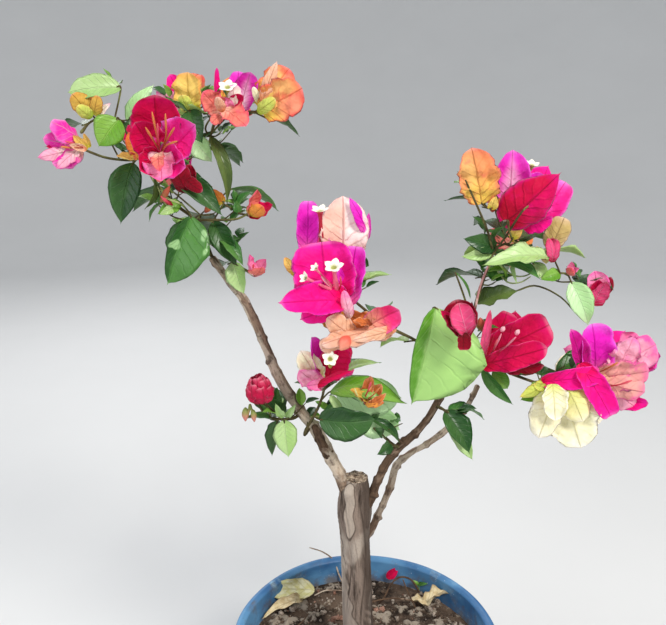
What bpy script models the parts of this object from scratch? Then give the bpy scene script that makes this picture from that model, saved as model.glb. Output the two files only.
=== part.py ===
"""A bougainvillea bush in a round blue pot: pot, soil, trunk, three boughs and eight flowering sprays.

Metres, +Z up. The origin is the middle of the pot's flat underside; the bush is seen from -Y.
The plan of the plant below is written in millimetres and turned into metres where it is used.
"""

import math
import random

import bmesh
import bpy
import numpy as np
from mathutils import Vector
from mathutils.bvhtree import BVHTree

MM = 0.001
GAP = 0.3 * MM  # between neighbours that touch on the real plant

# Pot: a tapered plastic pot with a rolled lip
POT_HEIGHT = 160 * MM
POT_RIM_RADIUS = 100 * MM  # outside of the lip
POT_BASE_RADIUS = 70 * MM
POT_WALL = 2.4 * MM
POT_FLOOR = 3.0 * MM
POT_LIP = 5.0 * MM  # how far the lip stands out from the wall
POT_LIP_HEIGHT = 12 * MM
POT_SEGMENTS = 40

# Soil in the pot
SOIL_LEVEL = 140 * MM  # the flat patch round the trunk's foot
SOIL_FLAT_RADIUS = 17 * MM
SOIL_SEGMENTS = 30
SOIL_RINGS = 5
SOIL_MOUND = 4.0 * MM

# Trunk: nearly upright, leaning a little to the left, with a flare at the soil and a sawn-off head
TRUNK_AXIS = [(-3, 0, 140.3), (-4, 0, 152), (-6, 0, 178), (-7, 0, 205), (-8, 0, 235), (-9, 0, 262),
              (-9, 0, 280), (-9, 0, 289)]
TRUNK_RADII = [14.5, 12.0, 10.9, 10.5, 10.3, 10.6, 9.8, 8.2]
TRUNK_SIDES = 20
TRUNK_FLUTES = 5  # shallow furrows that run up the bark
TRUNK_FLUTE_DEPTH = 0.05  # of the radius

# Boughs: routes and radii at both ends; each starts inside the trunk and is cut clear of it
BOUGH_SIDES = 8
BOUGH_LEFT = [(-12, -1, 268), (-19, -2, 291), (-28, -2, 310), (-35, -1, 324), (-45, 1, 337), (-53, 3, 349),
              (-61, 5, 362), (-68, 7, 379), (-76, 9, 399), (-84, 11, 415), (-92, 12, 425), (-98, 13, 434),
              (-104, 14, 442)]
BOUGH_LEFT_RADII = (4.4, 2.5)
STUB = [(-27, -2, 308), (-32, -4, 317), (-37, -6, 331)]  # short dead snag on the left bough
STUB_RADII = (3.4, 2.3)
BOUGH_RIGHT = [(-4, 0, 262), (2, -1, 274), (6, -2, 286), (11, -3, 299), (18, -5, 312), (27, -8, 323),
               (35, -10, 333), (43, -12, 348), (49, -12, 363), (56, -11, 377), (61, -10, 389)]
BOUGH_RIGHT_RADII = (3.3, 1.9)
BOUGH_BACK = [(-5, 3, 232), (4, 9, 244), (10, 13, 256), (16, 15, 270), (21, 16, 289), (29, 18, 297),
              (40, 20, 303), (49, 22, 308), (59, 25, 316), (70, 28, 328), (75, 29, 336), (79, 30, 346)]
BOUGH_BACK_RADII = (2.4, 1.9)

# Leaves and bracts: closed blades, thickest along the midrib
BLADE_THICKNESS = 0.9 * MM
BLADE_ROWS = ((0.36, 1.00), (0.74, 0.68))  # place along the blade and share of its width, between its ends
SMALL_BLADE_ROWS = ((0.45, 1.00),)
SMALL_BLADE = 18 * MM  # shorter blades have one row
TWIG_SIDES = 3
STEM_SIDES = 4
STEM_RADII = (1.7, 1.1)
TWIG_RADII = (1.0, 0.9)
PETIOLE_RADII = (0.8, 0.6)
TWIG_SWAY = 0.07  # of a twig's length, to either side at its middle
KNOB_RADIUS = 1.5  # the swollen end of a bloom's twig, where its three bracts meet
BRACT_SHARES = (1.0, 0.95, 0.91)  # of a bloom's length, one for each of its bracts
BRACT_WIDTH = 0.86  # of a bract's length
BRACT_FOLD = 0.04
BRACT_CUP = 0.13
LEAF_FOLD = 0.28  # how far the halves rise from the midrib
LEAF_ARCH = 0.10
ROOT_SHARE = 0.14  # how far a leaf's stalk runs on into its midrib
JOIN_TRIES = 30  # a spray is joined again, its pieces shifted a hair, until its surface is sound
JOIN_SHIFT = 0.08 * MM
NEAR = 0.0002 * MM
GOLDEN_ANGLE = math.radians(137.5)

COLOURS = {
    "twig": (0.10, 0.09, 0.04), "leafDark": (0.03, 0.11, 0.03), "leaf": (0.07, 0.24, 0.05),
    "leafPale": (0.45, 0.62, 0.33), "leafBright": (0.33, 0.62, 0.08), "magenta": (0.85, 0.02, 0.30),
    "crimson": (0.60, 0.01, 0.07), "darkRed": (0.25, 0.01, 0.02), "violet": (0.70, 0.05, 0.55),
    "pink": (0.85, 0.30, 0.45), "coral": (0.80, 0.20, 0.12), "orange": (0.80, 0.30, 0.05),
    "peach": (0.85, 0.50, 0.33), "yellow": (0.70, 0.50, 0.08), "cream": (0.80, 0.76, 0.52),
}
LOOKS = list(COLOURS)

FRONT = (0, -1, 0.15)
UP = (0, -0.3, 1)
LEFT = (-1, -0.5, 0)

# The sprays. A spray has one stem; twigs run from it to every bloom and leaf named here, and more leaves
# are then grown by a seeded rule.
#   blooms: foot, the way the mouth faces, bract length, opening in degrees, turn in degrees, three looks
#   blades: look, foot, tip, width, the way the upper face looks
SPRAYS = [
    {
        "name": "crown_left", "limb": "bough_left", "seed": 11, "extra": 9,
        "space": ((-205, -60, 405), (-42, 110, 575)),
        "stem": [(-100, 13, 437), (-104, 14, 443), (-107, 12, 454), (-113, 7, 468), (-123, 2, 478),
                 (-132, -2, 490), (-137, -4, 501), (-142, -6, 509)],
        "blooms": [
            ((-171, -15, 522), (-0.85, -0.50, 0.05), 29, 36, 0, "magenta pink crimson"),
            ((-166, 2, 530), (-0.50, -0.30, 0.80), 17, 30, 20, "yellow yellow orange"),
            ((-120, -35, 516), (0.05, -1.00, 0.10), 28, 66, 0, "crimson magenta violet"),
            ((-137, -16, 508), (-0.50, -0.60, 0.60), 15, 35, 30, "orange yellow orange"),
            ((-109, 8, 533), (-0.05, 0.15, 1.00), 24, 32, 0, "yellow orange peach"),
            ((-92, -4, 533), (0.10, -0.90, 0.45), 22, 66, -12, "coral coral peach"),
            ((-85, 10, 533), (0.50, -0.25, 0.80), 26, 30, 20, "violet cream violet"),
            ((-71, 0, 533), (0.75, -0.15, 0.55), 30, 27, 0, "peach orange coral"),
            ((-76, 0, 471), (0.65, -0.30, 0.70), 17, 26, 0, "coral orange crimson"),
            ((-114, -14, 503), (-0.10, -0.60, -0.80), 20, 30, 60, "darkRed darkRed crimson"),
            ((-75, 0, 433), (0.35, -0.30, 0.90), 14, 30, 30, "pink coral pink"),
            ((-147, 42, 524), (-0.50, 0.75, 0.10), 26, 48, 10, "magenta violet crimson"),
            ((-118, 68, 512), (0.10, 0.95, 0.10), 26, 55, 40, "crimson magenta crimson"),
            ((-97, 44, 538), (0.25, 0.90, 0.10), 23, 45, 0, "orange coral peach"),
            ((-126, 50, 449), (-0.10, 1.00, -0.10), 23, 55, 60, "violet magenta magenta"),
            ((-128, 62, 480), (-0.20, 0.95, 0.10), 22, 50, 0, "peach pink coral"),
        ],
        "blades": [
            ("leafPale", (-153, 6, 541), (-182, -2, 546), 17, (0, -0.75, 0.65)),
            ("leafBright", (-150, -10, 529), (-162, -14, 514), 20, FRONT),
            ("leafPale", (-150, 12, 527), (-134, 14, 549), 13, FRONT),
            ("leafDark", (-143, -13, 504), (-151, -21, 470), 20, FRONT),
            ("leaf", (-111, -2, 533), (-127, -12, 541), 10, UP),
            ("leafDark", (-110, -2, 534), (-102, -12, 516), 15, FRONT),
            ("leafPale", (-112, 4, 518), (-98, 2, 504), 13, FRONT),
            ("leaf", (-99, 4, 519), (-89, -2, 480), 10, (0.6, -0.7, 0)),
            ("leafDark", (-120, -4, 497), (-92, -12, 474), 16, (0.4, -0.9, 0.5)),
            ("leafBright", (-117, -8, 480), (-130, -14, 474), 9, FRONT),
            ("leaf", (-128, -8, 480), (-136, -14, 470), 8, LEFT),
            ("leaf", (-83, 2, 472), (-85, 3, 480), 6, FRONT),
            ("leaf", (-107, -8, 471), (-124, -26, 434), 27, (-0.1, -1, 0.2)),
            ("leafDark", (-116, 0, 468), (-126, -4, 441), 15, (-0.6, -0.8, 0)),
            ("leafDark", (-101, 8, 466), (-86, 0, 440), 15, (0.3, -1, 0)),
            ("leaf", (-96, 4, 456), (-81, -4, 441), 10, (0.5, -0.6, 0.5)),
            ("leafPale", (-92, 8, 443), (-81, 0, 421), 13, (0.2, -1, 0)),
            ("orange", (-93, 4, 478), (-99, 2, 487), 8, FRONT),
            ("leaf", (-125, 40, 505), (-158, 62, 500), 20, (0, 0.5, 0.9)),
            ("leafDark", (-108, 44, 510), (-92, 80, 498), 19, (0, 0.2, 1)),
            ("leaf", (-92, 30, 484), (-62, 44, 470), 18, (0.2, 0.4, 0.9)),
            ("leafDark", (-112, 26, 468), (-118, 56, 448), 20, (0, 0.8, 0.5)),
            ("leafPale", (-122, 38, 520), (-132, 70, 540), 15, (0, 0.3, 1)),
            ("leafDark", (-132, 30, 484), (-160, 40, 470), 17, (-0.3, 0.4, 1)),
        ],
    },
    {
        "name": "spur_left", "limb": "bough_left", "seed": 23, "extra": 2,
        "space": ((-100, -40, 296), (-30, 60, 385)),
        "stem": [(-45, 1, 337), (-52, -1, 334), (-60, -2, 334), (-66, -4, 336)],
        "blooms": [
            ((-71, -10, 350), (-0.10, -0.25, 0.95), 21, 17, 0, "crimson magenta crimson"),
        ],
        "blades": [
            ("leafPale", (-59, -6, 335), (-54, -18, 312), 15, FRONT),
            ("leafBright", (-61, -4, 337), (-70, -14, 345), 8, UP),
            ("leafDark", (-57, 0, 338), (-68, -6, 351), 10, FRONT),
            ("leaf", (-66, -4, 336), (-82, -10, 339), 7, UP),
            ("leafDark", (-62, 0, 332), (-67, 4, 305), 12, (-0.3, 0.6, 0)),
            ("leafDark", (-60, 3, 336), (-78, 32, 346), 17, (0, 0.3, 1)),
            ("leaf", (-56, 3, 334), (-58, 36, 322), 16, (0, 0.5, 1)),
        ],
    },
    {
        "name": "spray_middle", "limb": "bough_left", "seed": 37, "extra": 3,
        "space": ((-52, -50, 322), (34, 60, 402)),
        "stem": [(-39, 0, 329), (-43, -9, 326), (-42, -11, 331), (-37, -11, 340), (-32, -12, 352),
                 (-29, -16, 366)],
        "blooms": [
            ((-29, -17, 368), (0.00, -0.62, 0.78), 27, 50, 60, "magenta crimson crimson"),
            ((1, -22, 352), (0.30, -0.50, 0.80), 16, 38, 0, "orange coral orange"),
            ((-22, 34, 358), (0.00, 0.98, 0.10), 24, 50, 20, "crimson magenta crimson"),
        ],
        "blades": [
            ("cream", (-31, -14, 366), (-46, -20, 383), 14, (0.5, -1, 0.3)),
            ("leaf", (-24, -14, 364), (20, -20, 356), 19, (0, -0.55, 0.85)),
            ("leafDark", (-36, -14, 334), (-1, -26, 342), 22, FRONT),
            ("leafPale", (-14, -4, 349), (18, -12, 332), 20, (0.2, -0.9, 0.5)),
            ("leafDark", (-30, 6, 352), (-22, 44, 344), 20, (0, 0.3, 1)),
            ("leaf", (-28, 4, 360), (8, 26, 366), 17, (0, 0.4, 1)),
        ],
    },
    {
        "name": "bloom_centre", "limb": "bough_right", "seed": 41, "extra": 2,
        "space": ((-72, -75, 370), (56, 75, 505)),
        "stem": [(53, -12, 372), (50, -20, 377), (40, -22, 387), (27, -24, 397), (11, -27, 406),
                 (-4, -24, 416), (-16, -22, 428), (-20, -18, 444)],
        "blooms": [
            ((-17, -28, 429), (-0.35, -0.85, 0.35), 34, 58, 32, "magenta magenta violet"),
            ((7, -30, 409), (-0.72, -0.35, 0.50), 36, 42, 0, "pink peach coral"),
            ((-30, 32, 440), (-0.10, 0.98, 0.05), 30, 55, 0, "magenta crimson magenta"),
            ((-14, 26, 462), (0.10, 0.95, 0.20), 27, 48, 30, "coral peach pink"),
        ],
        "blades": [
            ("peach", (-18, -18, 448), (-17, -12, 484), 32, FRONT),
            ("magenta", (-37, -16, 447), (-41, -18, 484), 14, (0.35, -1, 0)),
            ("violet", (-10, -12, 450), (-9, -4, 484), 22, FRONT),
            ("yellow", (-42, -14, 434), (-56, -12, 448), 10, FRONT),
            ("orange", (-12, -26, 412), (-34, -30, 414), 12, FRONT),
            ("leafDark", (-10, -10, 446), (-2, -10, 441), 8, (0.5, -1, 0)),
            ("leafDark", (-14, -14, 436), (-40, 22, 440), 18, (0, 0.2, 1)),
            ("leaf", (2, -18, 412), (12, 22, 404), 18, (0, 0.2, 1)),
        ],
    },
    {
        "name": "leaf_low", "limb": "bough_right", "seed": 53, "extra": 0,
        "space": ((40, -50, 300), (90, 20, 362)),
        "stem": [(43, -12, 348), (46, -19, 349), (50, -21, 347)],
        "blooms": [],
        "blades": [
            ("leafDark", (48, -20, 348), (63, -32, 325), 18, (0.4, -1, 0.3)),
            ("leafPale", (50, -19, 345), (67, -22, 314), 12, (0.3, -1, 0)),
            ("leaf", (50, -19, 348), (76, -8, 338), 13, (0.2, 0.1, 1)),
        ],
    },
    {
        "name": "twig_inner", "limb": "bough_right", "seed": 59, "extra": 0,
        "space": ((-12, -50, 305), (24, 20, 348)),
        "stem": [(20, -6, 315), (16, -12, 320), (8, -16, 329), (2, -18, 335)],
        "blooms": [],
        "blades": [
            ("leafDark", (8, -18, 330), (3, -25, 338), 7, (0.3, -0.8, 0.6)),
            ("leafDark", (14, -13, 322), (5, -22, 318), 9, FRONT),
        ],
    },
    {
        "name": "spray_far", "limb": "bough_right", "seed": 67, "extra": 3,
        "space": ((62, -70, 322), (204, 90, 426)),
        "stem": [(59, -11, 382), (65, -16, 380), (72, -18, 378), (83, -17, 375), (95, -16, 370),
                 (107, -16, 366), (123, -13, 368), (138, -10, 374)],
        "blooms": [
            ((71, -20, 379), (0.74, -0.42, 0.52), 45, 37, 0, "pink crimson crimson"),
            ((147, -12, 376), (0.45, -0.80, 0.25), 37, 56, 62, "magenta peach pink"),
            ((110, -22, 368), (0.42, -0.50, -0.72), 40, 34, 40, "cream cream cream"),
            ((106, 36, 378), (0.05, 0.98, 0.10), 28, 50, 0, "crimson magenta crimson"),
            ((166, 34, 360), (0.25, 0.95, 0.05), 31, 52, 40, "magenta violet pink"),
            ((146, 36, 346), (0.05, 0.98, -0.05), 22, 45, 0, "cream peach cream"),
        ],
        "blades": [
            ("magenta", (111, -26, 372), (148, -38, 351), 17, (0.3, -0.4, 1)),
            ("leafBright", (109, -20, 366), (95, -26, 358), 13, FRONT),
            ("leaf", (71, -16, 376), (90, -22, 353), 9, (-0.7, -0.8, 0)),
            ("leafBright", (79, -12, 373), (90, -10, 359), 11, FRONT),
            ("leafDark", (92, -10, 371), (110, 30, 360), 19, (0, 0.1, 1)),
            ("leaf", (124, -4, 369), (152, 18, 386), 18, (0.1, 0.2, 1)),
            ("leafDark", (84, -8, 374), (74, 28, 366), 17, (0, 0.2, 1)),
            ("leaf", (132, 8, 368), (162, 34, 352), 18, (0.2, 0.3, 1)),
        ],
    },
    {
        "name": "crown_right", "limb": "bough_right", "seed": 71, "extra": 7,
        "space": ((20, -75, 355), (172, 110, 530)),
        "stem": [(60, -10, 386), (61, -10, 389), (64, -9, 401), (66, -8, 415), (70, -5, 428), (75, -1, 440),
                 (79, 2, 450), (88, 5, 452), (104, 5, 444)],
        "blooms": [
            ((58, -30, 398), (-0.40, -0.70, 0.60), 24, 36, 180, "darkRed crimson crimson"),
            ((85, 8, 476), (0.05, 0.05, 1.00), 34, 24, 20, "violet magenta violet"),
            ((82, -12, 469), (0.70, 0.05, 0.70), 41, 22, -30, "violet crimson magenta"),
            ((114, -3, 446), (-0.05, -0.20, 1.00), 14, 18, 0, "crimson coral crimson"),
            ((142, 6, 420), (0.55, -0.45, 0.55), 20, 34, 0, "pink crimson crimson"),
            ((128, 5, 432), (0.20, -0.50, 0.80), 9, 22, 0, "pink coral pink"),
            ((77, 48, 487), (-0.25, 0.95, 0.10), 25, 46, 0, "crimson magenta crimson"),
            ((113, 54, 474), (0.20, 0.95, 0.15), 30, 46, 30, "magenta violet pink"),
            ((108, 66, 441), (0.05, 1.00, -0.10), 24, 52, 60, "orange peach coral"),
            ((62, 30, 382), (-0.20, 0.95, -0.10), 26, 44, 0, "coral orange peach"),
        ],
        "blades": [
            ("leafBright", (42, -34, 420), (25, -44, 364), 44, (0.45, -0.9, 0.1)),
            ("orange", (68, -6, 480), (60, -8, 513), 27, FRONT),
            ("yellow", (72, -8, 476), (74, -12, 484), 7, FRONT),
            ("yellow", (87, -6, 457), (90, -10, 470), 8, FRONT),
            ("peach", (112, 6, 448), (124, 6, 466), 18, FRONT),
            ("leafPale", (109, -8, 443), (68, -22, 446), 16, (0, -0.75, 0.65)),
            ("leafDark", (79, 2, 451), (58, -4, 457), 13, FRONT),
            ("leafPale", (77, 2, 448), (57, -6, 446), 9, FRONT),
            ("leaf", (82, 4, 444), (106, -6, 433), 11, (0, -0.8, 0.6)),
            ("leafPale", (104, 4, 440), (113, 0, 430), 9, FRONT),
            ("leafBright", (121, 1, 434), (108, -3, 431), 9, (0, -0.8, 0.6)),
            ("leafPale", (130, 3, 430), (140, -8, 402), 16, (0.2, -1, 0)),
            ("leaf", (70, -6, 417), (93, -10, 424), 13, (0, -0.8, 0.6)),
            ("leafDark", (88, 20, 456), (76, 58, 458), 20, (0, 0.1, 1)),
            ("leaf", (100, 18, 450), (128, 48, 448), 19, (0.1, 0.2, 1)),
            ("leafDark", (72, 6, 430), (48, 36, 420), 19, (0, 0.2, 1)),
            ("leaf", (84, 12, 438), (96, 50, 420), 19, (0, 0.4, 1)),
            ("leafPale", (112, 14, 442), (146, 30, 440), 17, (0, 0.3, 1)),
        ],
    },
]


def metres(point):
    return Vector(point) * MM


def principled(name, colour, roughness, metallic=0.0):
    """A material with one Principled BSDF."""
    material = bpy.data.materials.new(name)
    material.use_nodes = True
    shader = material.node_tree.nodes["Principled BSDF"]
    shader.inputs["Base Color"].default_value = (*colour, 1.0)
    shader.inputs["Roughness"].default_value = roughness
    shader.inputs["Metallic"].default_value = metallic
    material.diffuse_color = (*colour, 1.0)
    return material


def new_object(name, points, faces, materials, look=0):
    """A mesh object from points and faces, its normals turned outwards."""
    mesh = bpy.data.meshes.new(name)
    mesh.from_pydata([tuple(p) for p in points], [], faces)
    for material in materials:
        mesh.materials.append(material)
    work = bmesh.new()
    work.from_mesh(mesh)
    bmesh.ops.recalc_face_normals(work, faces=work.faces)
    for face in work.faces:
        face.material_index = look
    work.to_mesh(mesh)
    work.free()
    made = bpy.data.objects.new(name, mesh)
    bpy.context.scene.collection.objects.link(made)
    return made


def smooth(made, angle=40):
    made.data.shade_smooth()
    made.data.set_sharp_from_angle(angle=math.radians(angle))


def turned(name, profile, segments, materials):
    """A closed solid turned about Z from a profile of (radius, height) that starts and ends on the axis."""
    points = [(0.0, 0.0, profile[0][1])]
    for radius, height in profile[1:-1]:
        for i in range(segments):
            angle = 2 * math.pi * i / segments
            points.append((radius * math.cos(angle), radius * math.sin(angle), height))
    points.append((0.0, 0.0, profile[-1][1]))
    rings = len(profile) - 2
    faces = []
    for i in range(segments):
        j = (i + 1) % segments
        faces.append((0, 1 + i, 1 + j))
        for r in range(rings - 1):
            a, b = 1 + r * segments, 1 + (r + 1) * segments
            faces.append((a + i, b + i, b + j, a + j))
        last = 1 + (rings - 1) * segments
        faces.append((last + i, len(points) - 1, last + j))
    return new_object(name, points, faces, materials)


def frames_along(route):
    """Tangent and two side vectors at each point of a route, carried along it without twist."""
    tangents = []
    for i in range(len(route)):
        before, after = route[max(i - 1, 0)], route[min(i + 1, len(route) - 1)]
        tangents.append((after - before).normalized())
    side = tangents[0].orthogonal().normalized()
    frames = []
    for tangent in tangents:
        side = (side - tangent * side.dot(tangent)).normalized()
        frames.append((tangent, side, tangent.cross(side)))
    return frames


def tube_mesh(route, radii, sides, flutes=0, depth=0.0):
    """Points and faces of a closed tube along a route; flutes are waves round its section."""
    points, faces = [], []
    for (_, side, other), centre, radius in zip(frames_along(route), route, radii):
        for k in range(sides):
            angle = 2 * math.pi * k / sides
            r = radius * (1 + depth * math.sin(flutes * angle))
            points.append(centre + side * r * math.cos(angle) + other * r * math.sin(angle))
    for i in range(len(route) - 1):
        for k in range(sides):
            a, b = i * sides + k, i * sides + (k + 1) % sides
            faces.append((a, b, b + sides, a + sides))
    faces.append(tuple(range(sides - 1, -1, -1)))
    faces.append(tuple(range(len(points) - sides, len(points))))
    return points, faces


def smooth_route(route, per_span=2):
    """More points on a Catmull-Rom curve through the given ones."""
    ends = [route[0] * 2 - route[1], *route, route[-1] * 2 - route[-2]]
    out = []
    for i in range(1, len(ends) - 2):
        a, b, c, d = ends[i - 1:i + 3]
        for step in range(per_span):
            t = step / per_span
            out.append(0.5 * (2 * b + (c - a) * t + (2 * a - 5 * b + 4 * c - d) * t * t
                              + (3 * b - a - 3 * c + d) * t ** 3))
    return out + [route[-1]]


def tapered(route, radii):
    """Radii from the first to the second along a route, by its length."""
    lengths = [0.0]
    for a, b in zip(route, route[1:]):
        lengths.append(lengths[-1] + (b - a).length)
    return [(radii[0] + (radii[1] - radii[0]) * s / lengths[-1]) * MM for s in lengths]


def limb(name, plan, radii, sides, materials, grow=0.0):
    """A tapering tube; grow swells it and lengthens both ends, for a copy that cuts its neighbours."""
    route = smooth_route([metres(p) for p in plan])
    sizes = [r + grow for r in tapered(route, radii)]
    if grow:
        route[0] = route[0] - (route[1] - route[0]).normalized() * grow
        route[-1] = route[-1] + (route[-1] - route[-2]).normalized() * grow
    return new_object(name, *tube_mesh(route, sizes, sides), materials)


def trunk_solid(name, materials, grow=0.0):
    """The trunk; its lower end stays flat on the soil."""
    route = smooth_route([metres(p) for p in TRUNK_AXIS])
    spots = [i / 2 for i in range(len(route))]
    sizes = [np.interp(s, range(len(TRUNK_RADII)), TRUNK_RADII) * MM + grow for s in spots]
    points, faces = tube_mesh(route, sizes, TRUNK_SIDES, TRUNK_FLUTES, TRUNK_FLUTE_DEPTH)
    foot = min(p.z for p in route)
    for p in points[:TRUNK_SIDES]:
        p.z = foot
    if grow:
        for p in points[-TRUNK_SIDES:]:
            p.z += grow
    return new_object(name, points, faces, materials)


def solved(base, others, operation, solver):
    """The Boolean of a base object with a collection of others, applied; the others are removed."""
    group = bpy.data.collections.new("joining")
    bpy.context.scene.collection.children.link(group)
    for other in others:
        group.objects.link(other)
    change = base.modifiers.new("join", "BOOLEAN")
    change.operation = operation
    change.operand_type = "COLLECTION"
    change.collection = group
    change.solver = solver
    bpy.context.view_layer.update()
    shaped = base.evaluated_get(bpy.context.evaluated_depsgraph_get())
    mesh = bpy.data.meshes.new_from_object(shaped)
    base.modifiers.remove(change)
    base.data = mesh
    for other in others:
        bpy.data.objects.remove(other, do_unlink=True)
    bpy.data.collections.remove(group)
    return base


def shells(work):
    """The connected sets of faces of a bmesh."""
    seen, found = set(), []
    for start in work.faces:
        if start in seen:
            continue
        seen.add(start)
        shell, queue = [], [start]
        while queue:
            face = queue.pop()
            shell.append(face)
            for edge in face.edges:
                for other in edge.link_faces:
                    if other not in seen:
                        seen.add(other)
                        queue.append(other)
        found.append(shell)
    return found


def cleaned(made):
    """Triangles only, with loose scraps and sealed hollows dropped: the largest shell is kept."""
    work = bmesh.new()
    work.from_mesh(made.data)
    bmesh.ops.triangulate(work, faces=work.faces)
    found = sorted(shells(work), key=len)
    for shell in found[:-1]:
        bmesh.ops.delete(work, geom=shell, context="FACES")
    loose = [v for v in work.verts if not v.link_faces]
    bmesh.ops.delete(work, geom=loose, context="VERTS")
    work.to_mesh(made.data)
    work.free()
    return len(found) - 1


def sound(made):
    """Whether every edge has two faces once points that nearly meet are joined."""
    work = bmesh.new()
    work.from_mesh(made.data)
    bmesh.ops.remove_doubles(work, verts=work.verts, dist=NEAR)
    good = all(len(edge.link_faces) == 2 for edge in work.edges)
    work.free()
    return good


def tree_of(points, faces):
    return BVHTree.FromPolygons([tuple(p) for p in points], faces, all_triangles=False)


def tree_of_object(made):
    return tree_of([v.co for v in made.data.vertices], [list(p.vertices) for p in made.data.polygons])


def blade_mesh(foot, tip, width, face, fold=LEAF_FOLD, arch=LEAF_ARCH):
    """A leaf or bract: a midrib that arches, and two halves that fold up from it, thick along the midrib."""
    along = tip - foot
    length = along.length
    along.normalize()
    side = along.cross(Vector(face))
    if side.length < 1e-3:
        side = along.orthogonal()
    side.normalize()
    normal = side.cross(along)
    points = [foot, tip]
    rows = BLADE_ROWS if length > SMALL_BLADE else SMALL_BLADE_ROWS
    for t, share in rows:
        half = 0.5 * width * share
        middle = foot + along * (length * t) + normal * (arch * length * 4 * t * (1 - t))
        thick = normal * (0.5 * BLADE_THICKNESS)
        lift = normal * (fold * half)
        points += [middle + side * half + lift, middle + thick, middle - side * half + lift, middle - thick]
    faces = []
    for k in range(4):
        nxt = (k + 1) % 4
        faces.append((0, 2 + k, 2 + nxt))
        for row in range(len(rows) - 1):
            a = 2 + 4 * row
            faces.append((a + k, a + 4 + k, a + 4 + nxt, a + nxt))
        last = 2 + 4 * (len(rows) - 1)
        faces.append((last + k, 1, last + nxt))
    return points, faces


def bloom_parts(plan):
    """The three bracts of a bloom: they lean out from its axis and stand 120 degrees apart."""
    foot, axis, length, opening, turn, looks = plan
    foot, axis = metres(foot), Vector(axis).normalized()
    up = Vector((0, 0, 1)) if abs(axis.z) < 0.93 else Vector((0, -1, 0))
    first = (up - axis * up.dot(axis)).normalized()
    second = axis.cross(first)
    parts = []
    for i, (look, share) in enumerate(zip(looks.split(), BRACT_SHARES)):
        angle = math.radians(turn + 120 * i)
        out = first * math.cos(angle) + second * math.sin(angle)
        lean = math.radians(opening)
        way = axis * math.cos(lean) + out * math.sin(lean)
        size = length * share * MM
        root = foot + (way * 0.3 + out * 0.2) * MM
        face = axis - out * 0.2
        bract = blade_mesh(root, foot + way * size, BRACT_WIDTH * size, face, BRACT_FOLD, -BRACT_CUP)
        parts.append((look, bract))
    return foot, parts


def grow_spray(spray, limbs, taken, materials):
    """One spray as one solid: stem, twigs to the named blooms and leaves, and seeded leaves."""
    dice = random.Random(spray["seed"])
    low, high = metres(spray["space"][0]), metres(spray["space"][1])
    stem = [metres(p) for p in spray["stem"]]
    stem_radii = tapered(stem, STEM_RADII)
    pieces = [("twig", tube_mesh(stem, stem_radii, STEM_SIDES))]
    nodes = list(stem[2:])
    skipped = []

    def clear(mesh):
        points, _ = mesh
        inside = all(low[i] <= p[i] <= high[i] for p in points for i in range(3))
        tree = tree_of(*mesh)
        return inside and not any(tree.overlap(other) for other in taken)

    def reach(foot, end):
        """A twig from the nearest grown point, on into a midrib, or bowed with a knob under a bloom."""
        start = min(nodes, key=lambda n: (n - foot).length)
        if end is not foot:
            route, sizes = [start, foot, end], [PETIOLE_RADII[0], PETIOLE_RADII[0], PETIOLE_RADII[1]]
        else:
            sway = Vector((dice.uniform(-1, 1), dice.uniform(-1, 1), dice.uniform(-0.2, 1)))
            way = (foot - start).normalized() * MM
            bend = (start + foot) / 2 + sway * TWIG_SWAY * (foot - start).length
            route = [start, bend, foot - way * 0.5, foot + way * 1.2]
            sizes = [TWIG_RADII[0], TWIG_RADII[1], KNOB_RADIUS, TWIG_RADII[1]]
        return route, tube_mesh(route, [r * MM for r in sizes], TWIG_SIDES)

    wanted = []
    for plan in spray["blooms"]:
        foot, parts = bloom_parts(plan)
        wanted.append((foot, foot, parts, "bloom at %s" % (plan[0],)))
    for look, foot, tip, width, face in spray["blades"]:
        foot, tip = metres(foot), metres(tip)
        stalk = foot + (tip - foot) * ROOT_SHARE + Vector((0.11, 0.07, 0.13)) * MM
        blade = blade_mesh(foot, tip, width * MM, face)
        wanted.append((foot, stalk, [(look, blade)], "blade at %s" % (foot / MM,)))
    wanted.sort(key=lambda item: min((n - item[0]).length for n in stem))
    for foot, end, parts, what in wanted:
        route, mesh = reach(foot, end)
        fits = [clear(part[1]) for part in parts] + [clear(mesh)]
        if not all(fits):
            skipped.append(what)
            continue
        pieces.append(("twig", mesh))
        pieces += parts
        nodes += route[1:-1]
    for count in range(spray["extra"]):
        for attempt in range(40):
            node = nodes[dice.randrange(len(nodes))]
            angle = (count + attempt) * GOLDEN_ANGLE
            slope = dice.uniform(-0.5, 0.4)
            way = Vector((math.cos(angle), abs(math.sin(angle)) + 0.15, slope)).normalized()
            foot = node + way * dice.uniform(4, 9) * MM
            tip = foot + way * dice.uniform(20, 32) * MM
            leaf = blade_mesh(foot, tip, dice.uniform(13, 18) * MM, (0, 0.15, 1))
            stalk = foot + (tip - foot) * ROOT_SHARE
            joint = tube_mesh([node, stalk], [r * MM for r in PETIOLE_RADII], TWIG_SIDES)
            if clear(leaf) and clear(joint):
                pieces += [("twig", joint), (dice.choice(["leafDark", "leaf", "leafPale"]), leaf)]
                break
    for attempt in range(JOIN_TRIES):
        solids = []
        for look, (points, faces) in pieces:
            shift = Vector((dice.uniform(-1, 1), dice.uniform(-1, 1), dice.uniform(-1, 1))) * JOIN_SHIFT
            moved = [p + shift for p in points]
            solids.append(new_object("piece", moved, faces, materials, LOOKS.index(look)))
        made = solved(solids[0], solids[1:], "UNION", "MANIFOLD")
        made = solved(made, [limb("cut", *limbs[spray["limb"]], GAP)], "DIFFERENCE", "MANIFOLD")
        scraps = cleaned(made)
        if sound(made) or attempt == JOIN_TRIES - 1:
            break
        bpy.data.objects.remove(made, do_unlink=True)
    made.name = spray["name"]
    print(spray["name"], len(made.data.polygons), "triangles,", scraps, "scraps,", attempt + 1, "tries,",
          "skipped", skipped)
    return made


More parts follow.
